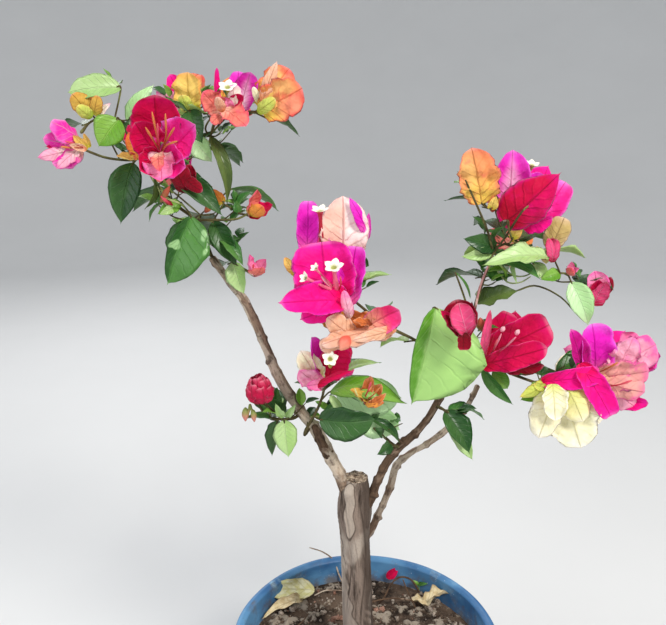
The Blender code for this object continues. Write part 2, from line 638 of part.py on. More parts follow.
def pot_profile():
    """Underside, outer wall, lip, inner wall and floor, from axis to axis."""
    neck = POT_RIM_RADIUS - POT_LIP
    under = POT_HEIGHT - POT_LIP_HEIGHT
    lip_mid = POT_RIM_RADIUS - 0.4 * POT_LIP
    inner = neck - POT_WALL
    floor_edge = POT_BASE_RADIUS - POT_WALL
    return [
        (0, 0), (POT_BASE_RADIUS - 3 * MM, 0), (POT_BASE_RADIUS, 2 * MM),
        (POT_BASE_RADIUS + (neck - POT_BASE_RADIUS) * 0.5, under * 0.5), (neck, under),
        (POT_RIM_RADIUS - 0.8 * MM, under + 0.5 * MM), (POT_RIM_RADIUS, under + 3 * MM),
        (POT_RIM_RADIUS, POT_HEIGHT - 2.5 * MM), (lip_mid, POT_HEIGHT),
        (inner + 1.2 * MM, POT_HEIGHT - 0.8 * MM), (inner, POT_HEIGHT - 3 * MM),
        (floor_edge + (inner - POT_BASE_RADIUS) * 0.06, POT_FLOOR + MM),
        (floor_edge - 2 * MM, POT_FLOOR), (0, POT_FLOOR),
    ]


def soil_radius(height):
    """The inside of the pot at a height, less the gap."""
    foot = POT_BASE_RADIUS - POT_WALL + (POT_RIM_RADIUS - POT_LIP - 2 * POT_WALL - POT_BASE_RADIUS) * 0.06
    mouth = POT_RIM_RADIUS - POT_LIP - POT_WALL
    share = (height - POT_FLOOR - MM) / (POT_HEIGHT - 3 * MM - POT_FLOOR - MM)
    return foot + (mouth - foot) * share - 2 * GAP


def soil_solid(materials):
    """A plug that fills the pot, flat round the trunk and mounded between there and the wall."""
    dice = random.Random(5)
    bumps = []
    for _ in range(14):
        bumps.append((dice.uniform(0, 2 * math.pi), dice.uniform(0.3, 0.9), dice.uniform(-0.8, 1.0)))
    rings = [SOIL_FLAT_RADIUS + (soil_radius(SOIL_LEVEL) - SOIL_FLAT_RADIUS) * i / SOIL_RINGS
             for i in range(SOIL_RINGS + 1)]
    bottom = POT_FLOOR + 1.3 * MM
    points, faces = [Vector((0, 0, bottom))], []
    for radius in (soil_radius(bottom) - MM, *reversed(rings)):
        for i in range(SOIL_SEGMENTS):
            angle = 2 * math.pi * i / SOIL_SEGMENTS
            if len(points) <= SOIL_SEGMENTS:
                height = bottom
            else:
                share = (radius - SOIL_FLAT_RADIUS) / (rings[-1] - SOIL_FLAT_RADIUS)
                wave = sum(h * math.exp(-((radius / rings[-1] - r) ** 2) * 30
                                        - 3 * (1 - math.cos(angle - a))) for a, r, h in bumps)
                height = SOIL_LEVEL + SOIL_MOUND * math.sin(math.pi * share) * wave * 0.7
            points.append(Vector((radius * math.cos(angle), radius * math.sin(angle), height)))
    points.append(Vector((0, 0, SOIL_LEVEL)))
    levels = SOIL_RINGS + 2
    for i in range(SOIL_SEGMENTS):
        j = (i + 1) % SOIL_SEGMENTS
        faces.append((0, 1 + i, 1 + j))
        for r in range(levels - 1):
            a, b = 1 + r * SOIL_SEGMENTS, 1 + (r + 1) * SOIL_SEGMENTS
            faces.append((a + i, b + i, b + j, a + j))
        last = 1 + (levels - 1) * SOIL_SEGMENTS
        faces.append((last + i, len(points) - 1, last + j))
    return new_object("soil", points, faces, materials)


def build():
    for old in list(bpy.data.objects):
        bpy.data.objects.remove(old, do_unlink=True)
    plastic = [principled("blue plastic", (0.07, 0.22, 0.52), 0.35)]
    earth = [principled("potting soil", (0.07, 0.045, 0.03), 0.95)]
    bark = [principled("trunk bark", (0.26, 0.20, 0.16), 0.85)]
    pale_bark = [principled("pale bark", (0.36, 0.27, 0.20), 0.8)]
    dark_bark = [principled("dark bark", (0.12, 0.07, 0.04), 0.8)]
    plant = [principled("plant " + look, COLOURS[look], 0.55) for look in LOOKS]

    pot = turned("pot", pot_profile(), POT_SEGMENTS, plastic)
    smooth(pot)
    smooth(soil_solid(earth))
    trunk = trunk_solid("trunk", bark)
    smooth(trunk)

    limbs = {
        "bough_left": (BOUGH_LEFT, BOUGH_LEFT_RADII, BOUGH_SIDES, pale_bark),
        "bough_right": (BOUGH_RIGHT, BOUGH_RIGHT_RADII, BOUGH_SIDES, dark_bark),
        "bough_back": (BOUGH_BACK, BOUGH_BACK_RADII, BOUGH_SIDES, dark_bark),
    }
    boughs = []
    for name, plan in limbs.items():
        bough = limb(name, *plan)
        if name == "bough_left":
            snag = limb("snag", STUB, STUB_RADII, BOUGH_SIDES, pale_bark)
            bough = solved(bough, [snag], "UNION", "EXACT")
        bough = solved(bough, [trunk_solid("cut", bark, GAP)], "DIFFERENCE", "EXACT")
        cleaned(bough)
        smooth(bough)
        boughs.append(bough)
    taken = [tree_of_object(made) for made in (trunk, *boughs)]
    for spray in SPRAYS:
        taken.append(tree_of_object(grow_spray(spray, limbs, taken, plant)))


build()
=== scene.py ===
import math
import random

import bpy
import numpy as np
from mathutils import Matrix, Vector
from mathutils.bvhtree import BVHTree


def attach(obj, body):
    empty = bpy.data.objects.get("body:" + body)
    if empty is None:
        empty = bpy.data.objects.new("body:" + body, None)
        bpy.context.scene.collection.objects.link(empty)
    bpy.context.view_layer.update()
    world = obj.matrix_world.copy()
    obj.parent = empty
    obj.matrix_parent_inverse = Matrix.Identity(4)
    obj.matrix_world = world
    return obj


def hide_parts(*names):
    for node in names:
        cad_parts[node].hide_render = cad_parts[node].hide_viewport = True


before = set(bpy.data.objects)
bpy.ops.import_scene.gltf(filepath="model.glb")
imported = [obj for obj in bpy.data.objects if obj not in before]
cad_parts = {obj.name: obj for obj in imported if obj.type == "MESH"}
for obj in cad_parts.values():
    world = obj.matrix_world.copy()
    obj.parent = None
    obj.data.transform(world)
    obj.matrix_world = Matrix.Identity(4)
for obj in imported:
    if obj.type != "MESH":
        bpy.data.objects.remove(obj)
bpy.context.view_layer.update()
mm = 0.001
print("frame loaded with", len(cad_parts), "nodes")


class Wire:
    # one output socket of a material; sums on it add Math nodes to the same material
    def __init__(self, paint, socket):
        self.paint = paint
        self.socket = socket

    def other(self, name):
        return Wire(self.paint, self.socket.node.outputs[name])

    def __add__(self, value):
        return self.paint.math("ADD", self, value)

    def __sub__(self, value):
        return self.paint.math("SUBTRACT", self, value)

    def __rsub__(self, value):
        return self.paint.math("SUBTRACT", value, self)

    def __mul__(self, value):
        return self.paint.math("MULTIPLY", self, value)

    __radd__ = __add__
    __rmul__ = __mul__


class Paint:
    # a material around one Principled BSDF
    def __init__(self, name, fixed):
        self.material = bpy.data.materials.new(name)
        self.material.use_nodes = True
        self.tree = self.material.node_tree
        self.shader = self.tree.nodes["Principled BSDF"]
        for socket, value in fixed.items():
            self.plug(self.shader.inputs[socket], value)

    def plug(self, socket, value):
        if isinstance(value, Wire):
            self.tree.links.new(value.socket, socket)
        elif socket.type == "RGBA":
            socket.default_value = (*value[:3], 1.0)
        else:
            socket.default_value = value

    def node(self, kind, settings, values, output=0):
        made = self.tree.nodes.new(kind)
        for key, value in settings.items():
            setattr(made, key, value)
        for key, value in values.items():
            self.plug(made.inputs[key], value)
        return Wire(self, made.outputs[output])

    def math(self, operation, a, b=0.0):
        return self.node("ShaderNodeMath", {"operation": operation}, {0: a, 1: b})

    def mix(self, share, a, b, blend="MIX"):
        settings = {"data_type": "RGBA", "blend_type": blend}
        return self.node("ShaderNodeMix", settings, {0: share, 6: a, 7: b}, 2)

    def step(self, value, low, high):
        # 0 below low, 1 above high, smooth between
        return self.node("ShaderNodeMapRange", {"interpolation_type": "SMOOTHSTEP"},
                         {"Value": value, "From Min": low, "From Max": high})

    def scaled(self, vector, scale):
        return self.node("ShaderNodeVectorMath", {"operation": "MULTIPLY"}, {0: vector, 1: scale})

    def layers(self, colour, *coats):
        # coats of colour over one another, each as far as its mask says: mask, colour and perhaps a blend
        for mask, coat, *blend in coats:
            colour = self.mix(mask, colour, coat, *blend)
        return colour

    def noise(self, where, scale, detail=3.0, roughness=0.55, distortion=0.0):
        return self.node("ShaderNodeTexNoise", {}, {
            "Vector": where, "Scale": scale, "Detail": detail, "Roughness": roughness,
            "Distortion": distortion})

    def space(self):
        # Object coordinates, in metres
        return self.node("ShaderNodeTexCoord", {}, {}, "Object")

    def grain(self, scale, *more):
        # noise in Object coordinates
        return self.noise(self.space(), scale, *more)

    def parts(self, vector):
        # the first part of a vector; its other("Y") and other("Z") are the rest
        return self.node("ShaderNodeSeparateXYZ", {}, {"Vector": vector}, "X")

    def attribute(self, name, output="Fac"):
        return self.node("ShaderNodeAttribute", {"attribute_name": name}, {}, output)

    def bladePlace(self):
        # across, 0 to 1 with the midrib at 0.5, and along, 0 at the foot and 1 at the tip
        spot = self.node("ShaderNodeUVMap", {"uv_map": "blade"}, {})
        across = self.parts(spot)
        return spot, across, across.other("Y")

    def finish(self, colour, roughness=None, height=None, bump=0.3, reach=0.001, glow=0.0):
        # glow is painted light: an emission in the piece's own colour that stands in for light passing
        # through a thin blade
        self.plug(self.shader.inputs["Base Color"], colour)
        if roughness is not None:
            self.plug(self.shader.inputs["Roughness"], roughness)
        if height is not None:
            lifted = self.node("ShaderNodeBump", {}, {"Strength": bump, "Distance": reach, "Height": height})
            self.plug(self.shader.inputs["Normal"], lifted)
        if glow:
            self.plug(self.shader.inputs["Emission Color"], colour)
            self.shader.inputs["Emission Strength"].default_value = glow
        return self.material


# Bracts: main colour, near the foot, at the rim, in the veins, and what differs from bractBase:
#   reach: how far the foot colour runs; narrow: how much it keeps to the middle; mottle: patches of the rim
#   colour; side: the main colour of the second half
bractBase = {"reach": 0.42, "narrow": 0.0, "mottle": 0.25, "side": None}
bractLooks = {
    "magenta": ((0.8, 0.002, 0.21), (0.72, 0, 0.08), (0.88, 0.02, 0.42), (0.55, 0, 0.13)),
    "violet": ((0.71, 0.012, 0.44), (0.84, 0.16, 0.44), (0.8, 0.1, 0.66), (0.52, 0, 0.28)),
    "striped": ((0.74, 0.02, 0.34), (0.86, 0.5, 0.36), (0.85, 0.2, 0.55), (0.9, 0.42, 0.62)),
    "flame": ((0.7, 0.015, 0.4), (0.93, 0.74, 0.82), (0.78, 0.08, 0.6), (0.76, 0.12, 0.42),
              {"reach": 1.3, "narrow": 1.1}),
    "crimson": ((0.54, 0, 0.056), (0.46, 0, 0.03), (0.62, 0, 0.12), (0.34, 0, 0.016)),
    "darkRed": ((0.2, 0, 0.01), (0.12, 0.006, 0.008), (0.36, 0, 0.03), (0.08, 0, 0)),
    "pink": ((0.86, 0.26, 0.46), (0.92, 0.66, 0.62), (0.84, 0.04, 0.34), (0.72, 0.06, 0.24)),
    "coral": ((0.76, 0.2, 0.15), (0.84, 0.54, 0.38), (0.82, 0.04, 0.14), (0.64, 0.03, 0.04),
              {"mottle": 0.6}),
    "orange": ((0.82, 0.31, 0.055), (0.6, 0.58, 0.05), (0.8, 0.09, 0.06), (0.6, 0.12, 0.015),
               {"mottle": 0.6}),
    "peach": ((0.74, 0.4, 0.25), (0.7, 0.24, 0.09), (0.84, 0.56, 0.45), (0.66, 0.2, 0.1), {"mottle": 0.6}),
    "rosy": ((0.84, 0.015, 0.26), (0.7, 0.01, 0.07), (0.84, 0.16, 0.66), (0.66, 0, 0.16)),
    "heart": ((0.5, 0, 0.042), (0.4, 0, 0.02), (0.64, 0, 0.19), (0.2, 0, 0.01), {"side": (0.58, 0, 0.085)}),
    "wine": ((0.46, 0.006, 0.05), (0.16, 0, 0.012), (0.66, 0.08, 0.16), (0.3, 0, 0.02)),
    "dusk": ((0.76, 0.34, 0.3), (0.78, 0.44, 0.26), (0.82, 0.05, 0.34), (0.58, 0.1, 0.16), {"mottle": 0.6}),
    # painted shade: a darker copy of magenta, for a petal in the shadow of its cupped bloom
    "plum": ((0.46, 0, 0.17), (0.4, 0, 0.12), (0.72, 0.02, 0.4), (0.3, 0, 0.1)),
    "claret": ((0.74, 0.07, 0.2), (0.36, 0, 0.02), (0.4, 0, 0.03), (0.84, 0.3, 0.44)),
    "sunrise": ((0.82, 0.02, 0.16), (0.86, 0.44, 0.26), (0.86, 0.1, 0.36), (0.62, 0.02, 0.08),
                {"reach": 0.75}),
    "sunset": ((0.88, 0.46, 0.16), (0.74, 0.64, 0.07), (0.74, 0.04, 0.05), (0.66, 0.1, 0.03),
               {"mottle": 0.6, "reach": 0.6, "side": (0.86, 0.28, 0.16)}),
    "blush": ((0.84, 0.38, 0.5), (0.9, 0.72, 0.64), (0.82, 0.04, 0.36), (0.82, 0.2, 0.34), {"mottle": 0.6}),
    "veined": ((0.8, 0.5, 0.4), (0.78, 0.5, 0.34), (0.84, 0.54, 0.5), (0.5, 0.12, 0.1),
               {"side": (0.9, 0.76, 0.72)}),
    "ivory": ((0.92, 0.82, 0.68), (0.9, 0.8, 0.58), (0.8, 0.1, 0.55), (0.82, 0.56, 0.4)),
    "mustard": ((0.62, 0.4, 0.07), (0.62, 0.6, 0.06), (0.6, 0.22, 0.04), (0.38, 0.16, 0.02),
                {"mottle": 0.35}),
    "lime": ((0.54, 0.62, 0.12), (0.4, 0.56, 0.05), (0.78, 0.62, 0.12), (0.46, 0.46, 0.03)),
    "amber": ((0.7, 0.38, 0.13), (0.82, 0.56, 0.1), (0.72, 0.13, 0.1), (0.42, 0.1, 0.02),
              {"mottle": 0.6, "reach": 0.7, "side": (0.78, 0.26, 0.1)}),
    "rust": ((0.58, 0.16, 0.04), (0.22, 0.04, 0.015), (0.84, 0.4, 0.2), (0.3, 0.05, 0.01)),
    "khaki": ((0.5, 0.37, 0.13), (0.5, 0.52, 0.16), (0.7, 0.5, 0.32), (0.36, 0.22, 0.08)),
    "creamLime": ((0.8, 0.74, 0.36), (0.58, 0.66, 0.12), (0.9, 0.86, 0.66), (0.56, 0.54, 0.18),
                  {"reach": 0.8}),
    "yellow": ((0.78, 0.55, 0.14), (0.62, 0.6, 0.04), (0.84, 0.36, 0.07), (0.62, 0.32, 0.02),
               {"mottle": 0.35}),
    "cream": ((0.84, 0.79, 0.52), (0.66, 0.7, 0.2), (0.9, 0.87, 0.74), (0.66, 0.6, 0.26)),
}

# Leaves: main colour, the paler one, the underside, the roughness, and what differs from leafBase:
#   half: how pale the second half is, as painted light on one side of the fold; turned: the first half is
#   the pale, lit one; the spots: painted spots of sunlight; glow: a painted glow in the leaf's own colour
leafBase = {"half": 0.40, "turned": False, "dapple": 0.0, "glow": 0.03}
leafLooks = {
    "leafDark": ((0.014, 0.065, 0.012), (0.075, 0.18, 0.045), (0.055, 0.13, 0.035), 0.34),
    "leaf": ((0.035, 0.145, 0.022), (0.14, 0.32, 0.07), (0.1, 0.23, 0.06), 0.34),
    "leafPale": ((0.34, 0.53, 0.17), (0.6, 0.76, 0.4), (0.36, 0.56, 0.12), 0.4),
    "leafMint": ((0.36, 0.6, 0.26), (0.62, 0.82, 0.5), (0.3, 0.54, 0.16), 0.42, {"glow": 0.16}),
    "leafOlive": ((0.055, 0.095, 0.018), (0.17, 0.24, 0.06), (0.13, 0.18, 0.05), 0.36),
    "leafShade": ((0.02, 0.09, 0.012), (0.085, 0.24, 0.045), (0.1, 0.23, 0.06), 0.3,
                  {"half": 0.9, "turned": True, "dapple": 0.8}),
    "leafSun": ((0.1, 0.3, 0.015), (0.4, 0.66, 0.2), (0.34, 0.56, 0.12), 0.36, {"half": 1, "turned": True}),
    "leafBright": ((0.12, 0.31, 0.018), (0.34, 0.58, 0.12), (0.34, 0.58, 0.1), 0.38),
}
# colour of the painted spots of sunlight on leaves
sunSpotGreen = (0.36, 0.60, 0.26)
# the last of these is the colour of a painted highlight along the rims of bracts
leafDull, bractDull, bractHighlight = (0.62, 0.74, 0.60), (0.82, 0.72, 0.80), (0.95, 0.80, 0.84)


def veinMask(paint, spot, across, along, pairs, slant, width):
    # 1 on the midrib and on side veins that leave it forwards, 0 between them;
    # the side veins are the folds of a triangle wave in (along * pairs - distance from the midrib * slant)
    away = paint.math("ABSOLUTE", across - 0.5) * 2
    wobble = paint.noise(spot, 4.0, 2.0) - 0.5
    wave = paint.math("PINGPONG", along * pairs - away * slant + wobble * 0.7, 0.5)
    side = (1 - paint.step(wave, 0.0, width)) * (1 - along) * 1.2
    rib = 1 - paint.step(away, 0.0, 0.07)
    return paint.math("MAXIMUM", side * 0.75, rib), away


def bractPaint(name, main, foot, rimColour, veinColour, *more):
    # papery bract: the foot colour fades into the main one, then a rim, mottled patches, veins and a painted
    # pale highlight along the rim
    look = {**bractBase, **dict(*more)}
    paint = Paint("bract " + name, {"Roughness": 0.6, "Specular IOR Level": 0.12, "Sheen Weight": 0.05})
    spot, across, along = paint.bladePlace()
    veins, away = veinMask(paint, spot, across, along, 6.0, 1.6, 0.16)
    blotch = paint.grain(120.0, 4.0)
    half = paint.step(across + (blotch - 0.5) * 0.3, 0.40, 0.62)
    near = paint.step(along + away * look["narrow"] + (blotch - 0.5) * 0.35, 0.02, look["reach"])
    rim = paint.step(paint.math("MAXIMUM", away, along * 0.96) + (blotch - 0.5) * 0.25, 0.72, 1.02)
    # painted highlight: a pale band along the bract's rim
    rimHighlight = paint.step(paint.math("MAXIMUM", away, along), 0.93, 0.99)
    rimHighlightColour = [0.45 * a + 0.55 * b for a, b in zip(rimColour, bractHighlight)]
    colour = paint.layers(
        main, (half, look["side"] or main), (1 - near, foot), (rim * 0.8, rimColour),
        (paint.attribute("tint") * 0.5, bractDull, "MULTIPLY"),
        (paint.step(blotch, 0.52, 0.72) * look["mottle"], rimColour), (veins * 0.55, veinColour),
        (rimHighlight * 0.22, rimHighlightColour))
    height = veins * 0.6 + paint.grain(420.0) * 0.4 + paint.grain(130.0, 2.0) * 1.6
    # the last number is a painted glow: an emission in the bract's own colour
    return paint.finish(colour, None, height, 0.8, 0.0012, 0.10)


def leafPaint(name, main, pale, under, gloss, *more):
    # waxy leaf: mottled green, one half painted paler as if lit, painted spots of sunlight, a pale midrib and
    # veins, a paler underside
    look = {**leafBase, **dict(*more)}
    paint = Paint(name, {"Specular IOR Level": 0.3, "Coat Weight": 0.06, "Coat Roughness": 0.25})
    spot, across, along = paint.bladePlace()
    veins = veinMask(paint, spot, across, along, 7.0, 1.9, 0.13)[0]
    mottle = paint.grain(90.0, 4.0)
    # painted light: one half of the leaf paler, as if lit on one side of its fold
    half = paint.step((1 - across if look["turned"] else across) + (mottle - 0.5) * 0.2, 0.36, 0.58)
    colour = paint.layers(
        main, (paint.step(mottle, 0.45, 0.80) * 0.35 + half * look["half"], pale),
        (paint.attribute("tint") * 0.45, leafDull, "MULTIPLY"),
        # painted light: spots of sunlight in a pale green
        (paint.step(paint.grain(62.0, 1.0), 0.60, 0.64) * look["dapple"], sunSpotGreen),
        (paint.attribute("under") * 0.75, under), (veins * 0.42, pale))
    rough = paint.grain(300.0, 2.0) * 0.2 + gloss - 0.1 + veins * 0.1
    return paint.finish(colour, rough, 1 - veins + mottle * 0.5, 0.6, 0.0011, look["glow"])


# Barks: dark, main and pale colour, bump, scale round and along the limb, in cycles a metre, of the long
# grain and of the flaked patches, where these begin, and the scale of dark rings if there are any
barkLooks = {
    "trunk bark": ((0.055, 0.038, 0.029), (0.27, 0.205, 0.165), (0.50, 0.42, 0.35), 0.9,
                   (260, 260, 34), (55, 55, 22), 0.50),
    "pale bark": ((0.07, 0.040, 0.028), (0.34, 0.240, 0.170), (0.68, 0.57, 0.45), 1.0,
                  (380, 380, 50), (120, 120, 46), 0.44, (90, 90, 120)),
    "dark bark": ((0.035, 0.020, 0.014), (0.13, 0.078, 0.048), (0.34, 0.24, 0.17), 0.8,
                  (420, 420, 70), (150, 150, 50), 0.56, (90, 90, 120)),
    "twig": ((0.035, 0.030, 0.012), (0.105, 0.085, 0.035), (0.24, 0.26, 0.08), 0.5,
             (600, 600, 120), (160, 160, 60), 0.52),
    "green stem": ((0.06, 0.08, 0.02), (0.20, 0.26, 0.07), (0.48, 0.56, 0.26), 0.4,
                   (600, 600, 90), (200, 200, 60), 0.45),
    "young stem": ((0.30, 0.10, 0.10), (0.62, 0.30, 0.30), (0.80, 0.58, 0.52), 0.4,
                   (600, 600, 90), (200, 200, 60), 0.48),
}


def barkPaint(name, dark, main, pale, bump, grainScale, patchScale, paleFrom, *ringScales):
    # long grain and pale flaked patches, laid along the limb by its own place attribute; pale where the bark
    # is bare and on a painted sunlit strip, dark in the hollows, in painted shade and, on the boughs, in
    # rings round the limb
    paint = Paint(name, {"Specular IOR Level": 0.25})
    place = paint.attribute("limbPlace", "Vector")
    grain = paint.noise(paint.scaled(place, grainScale), 1.0, 5.0, 0.65)
    flake = paint.noise(paint.scaled(place, patchScale), 1.0, 3.0, 0.5, 0.6)
    flake = paint.step(flake, paleFrom, paleFrom + 0.10)
    speck = paint.noise(place, 1500.0, 2.0)
    rings = [paint.noise(paint.scaled(place, scale), 1.0, 3.0, 0.6, 0.4) for scale in ringScales]
    colour = paint.layers(
        dark, (paint.step(grain, 0.30, 0.56), main), (flake * 0.75, pale),
        (paint.step(grain, 0.60, 0.78) * 0.5, pale), (paint.step(speck, 0.58, 0.75) * 0.4, dark),
        # these two attributes also carry painted light: a pale sunlit strip, painted shade and painted shadow
        # edges
        (paint.attribute("bare") * 0.65, pale), (paint.attribute("hollow") * 0.82, dark),
        *((paint.step(ring, 0.56, 0.66) * 0.75, dark) for ring in rings))
    return paint.finish(colour, 0.95 - flake * 0.15, grain + flake * 0.5 + speck * 0.2, bump, 0.0012)


cutLook = {"dark": (0.24, 0.17, 0.12), "pale": (0.60, 0.48, 0.36), "crack": (0.07, 0.045, 0.03)}


def cutWoodPaint(name):
    # the sawn head: pale weathered wood with dark cracks
    paint = Paint(name, {"Roughness": 0.9, "Specular IOR Level": 0.2})
    fibre = paint.noise(paint.scaled(paint.space(), (500.0, 500.0, 160.0)), 1.0, 4.0, 0.6)
    crack = paint.grain(260.0, 2.0, 0.5, 2.0)
    colour = paint.layers(cutLook["dark"], (paint.step(fibre, 0.35, 0.65), cutLook["pale"]),
                          (paint.step(crack, 0.58, 0.66), cutLook["crack"]))
    return paint.finish(colour, None, fibre - paint.step(crack, 0.55, 0.66), 0.7, 0.001)


potLook = {"blue": (0.024, 0.112, 0.28), "faded": (0.105, 0.28, 0.49), "bleached": (0.40, 0.64, 0.78),
           "scratch": (0.72, 0.80, 0.88), "dirt": (0.13, 0.095, 0.07), "footDust": (0.30, 0.30, 0.29)}


def potPaint(name):
    # blue plastic faded by the sun: pale washes and bleached patches, more of both on the left of the lip as
    # painted light; fine white scratches, dirt low inside and dust round the foot
    paint = Paint(name, {"Specular IOR Level": 0.45})
    place = paint.space()
    east = paint.parts(place)
    height = east.other("Z")
    wash = paint.noise(paint.scaled(place, (14.0, 14.0, 30.0)), 1.0, 4.0, 0.6, 0.3)
    patch = paint.grain(38.0, 5.0, 0.6)
    scratch = paint.noise(paint.scaled(place, (60.0, 60.0, 900.0)), 1.0, 3.0, 0.7, 1.5)
    dust = paint.grain(75.0, 5.0, 0.65)
    inside = paint.attribute("inside")
    upper = paint.step(height, 0.120, 0.160)
    # painted light: the left of the pot is made paler, as if sunlit
    left = 1 - paint.step(east, -0.09, 0.0)
    fadeAndLitLeft = paint.step(wash + upper * 0.03 + left * 0.10, 0.42, 0.76)
    bleachAndLitLeft = paint.step(patch, 0.55, 0.68) * (upper * (0.08 + left * 0.42) + 0.20)
    scuff = paint.step(scratch, 0.66, 0.70) * paint.step(patch, 0.46, 0.62)
    speck = paint.step(paint.grain(520.0, 2.0), 0.70, 0.74) * paint.step(wash, 0.45, 0.60)
    dirt = paint.step(dust + (0.156 - height) * 9.0, 0.50, 0.80) * inside
    foot = paint.step(dust + (0.035 - height) * 4.0, 0.52, 0.78) * (1 - inside)
    masks = fadeAndLitLeft, bleachAndLitLeft, paint.math("MAXIMUM", scuff, speck) * 0.75, dirt * 0.8, foot * 0.45
    blue, *coats = potLook.values()
    rough = 0.34 + fadeAndLitLeft * 0.14 + dirt * 0.4 + dust * 0.12
    return paint.finish(paint.layers(blue, *zip(masks, coats)), rough,
                        patch * 0.4 + dust * 0.3 + scratch * 0.15, 0.18, 0.001)


soilLook = {"damp": (0.018, 0.012, 0.009), "earth": (0.12, 0.082, 0.058), "dry": (0.40, 0.34, 0.27),
            "grit": (0.55, 0.47, 0.40)}


def soilPaint(name):
    # damp dark earth, drier and paler on top of the clods
    paint = Paint(name, {"Roughness": 0.96, "Specular IOR Level": 0.15})
    lump, grit = paint.grain(60.0, 6.0, 0.65), paint.grain(700.0, 4.0, 0.7)
    top = paint.step(grit + paint.attribute("raised") * 0.42, 0.56, 0.80)
    colour = paint.layers(
        soilLook["damp"], (paint.step(lump, 0.35, 0.62), soilLook["earth"]), (top * 0.8, soilLook["dry"]),
        (paint.step(grit, 0.66, 0.72) * 0.5, soilLook["grit"]))
    return paint.finish(colour, None, lump + grit * 0.6, 1.0, 0.0015)


# Loose crumbs of the soil: dark and pale colour
crumbLooks = {
    "dark crumb": ((0.035, 0.022, 0.016), (0.15, 0.105, 0.075)),
    "pale crumb": ((0.16, 0.12, 0.09), (0.50, 0.42, 0.35)),
    "red crumb": ((0.16, 0.075, 0.05), (0.46, 0.27, 0.20)),
}


def crumbPaint(name, dark, pale):
    # grit and lumps deal out the two colours
    paint = Paint(name, {"Roughness": 0.95, "Specular IOR Level": 0.15})
    grit = paint.grain(900.0, 4.0, 0.7)
    colour = paint.mix(paint.step(grit * 0.6 + paint.grain(160.0) * 0.4, 0.40, 0.60), dark, pale)
    return paint.finish(colour, None, grit, 0.8, 0.0008)


# Fallen leaves: main, dark and pale colour
dryLooks = {
    "dry leaf": ((0.58, 0.46, 0.26), (0.24, 0.14, 0.06), (0.72, 0.62, 0.40)),
    "yellow leaf": ((0.74, 0.70, 0.34), (0.42, 0.34, 0.12), (0.84, 0.82, 0.58)),
}


def dryLeafPaint(name, main, dark, pale):
    # crisp dead leaf: blotched, darker towards the rim and in the veins
    paint = Paint(name, {"Roughness": 0.8, "Specular IOR Level": 0.2})
    veins, away = veinMask(paint, *paint.bladePlace(), 6.0, 1.6, 0.14)
    blotch = paint.grain(200.0, 4.0)
    colour = paint.layers(main, (paint.step(blotch, 0.40, 0.62), pale),
                          (paint.step(away + blotch * 0.4, 0.95, 1.25) * 0.7, dark), (veins * 0.5, dark))
    return paint.finish(colour, None, veins + blotch, 0.5, 0.0008)


# Buds and the tubes of the true flowers: colour at the tip and at the foot
budLooks = {
    "tube red": ((0.74, 0.10, 0.14), (0.42, 0.01, 0.03)),
    "tube orange": ((0.66, 0.22, 0.06), (0.34, 0.05, 0.02)),
    "tube green": ((0.70, 0.62, 0.25), (0.36, 0.40, 0.08)),
    "crimson tube": ((0.80, 0.26, 0.36), (0.40, 0.0, 0.03)),
    "bud": ((0.62, 0.20, 0.18), (0.22, 0.26, 0.06)),
    "pink bud": ((0.88, 0.50, 0.55), (0.78, 0.16, 0.26)),
    "coral bud": ((0.84, 0.30, 0.20), (0.74, 0.12, 0.08)),
    "rust bud": ((0.46, 0.07, 0.04), (0.26, 0.14, 0.04)),
}


def budPaint(name, tip, foot):
    # the foot colour runs into the tip colour along the piece, with five faint ribs
    paint = Paint(name, {"Roughness": 0.5, "Specular IOR Level": 0.35})
    across, along = paint.bladePlace()[1:]
    speck = paint.grain(700.0)
    ribs = paint.math("PINGPONG", across * 5, 0.5)
    ahead = paint.step(along + (speck - 0.5) * 0.3, 0.25, 0.80)
    colour = paint.layers(foot, (ahead, tip), (ribs * 0.35, foot))
    # the last number is a painted glow: an emission in the bud's own colour
    return paint.finish(colour, None, ribs + speck * 0.4, 0.4, 0.0005, 0.05)


starLook = {"mouth": (0.90, 0.87, 0.76), "throat": (0.34, 0.36, 0.08), "fold": (0.84, 0.62, 0.55)}


def starPaint(name):
    # the mouth of a true flower: cream white with a yellow-green throat and pinkish folds between its lobes
    paint = Paint(name, {"Roughness": 0.5, "Specular IOR Level": 0.3})
    across, along = paint.bladePlace()[1:]
    speck = paint.grain(900.0, 2.0)
    lobes = paint.math("PINGPONG", across * 10, 0.5)
    colour = paint.layers(
        starLook["mouth"], (paint.step(along + (speck - 0.5) * 0.1, 0.74, 0.86), starLook["throat"]),
        ((1 - paint.step(lobes, 0.0, 0.18)) * 0.35, starLook["fold"]))
    # the last number is a painted glow: an emission in the flower's own colour
    return paint.finish(colour, None, lobes + speck * 0.3, 0.4, 0.0004, 0.10)


palette = {}
for table, make in (
        (barkLooks, barkPaint), (leafLooks, leafPaint), (bractLooks, bractPaint), (budLooks, budPaint),
        (crumbLooks, crumbPaint), (dryLooks, dryLeafPaint)):
    palette.update({name: make(name, *look) for name, look in table.items()})
palette.update({"cut wood": cutWoodPaint("cut wood"), "flower star": starPaint("flower star"),
                "blue plastic": potPaint("blue plastic"), "potting soil": soilPaint("potting soil")})
print("materials made:", len(palette))


def unit(vectors):
    return vectors / np.maximum(np.linalg.norm(vectors, axis=-1, keepdims=True), 1e-9)


def column(rows, key):
    return np.array([row[key] for row in rows], float)


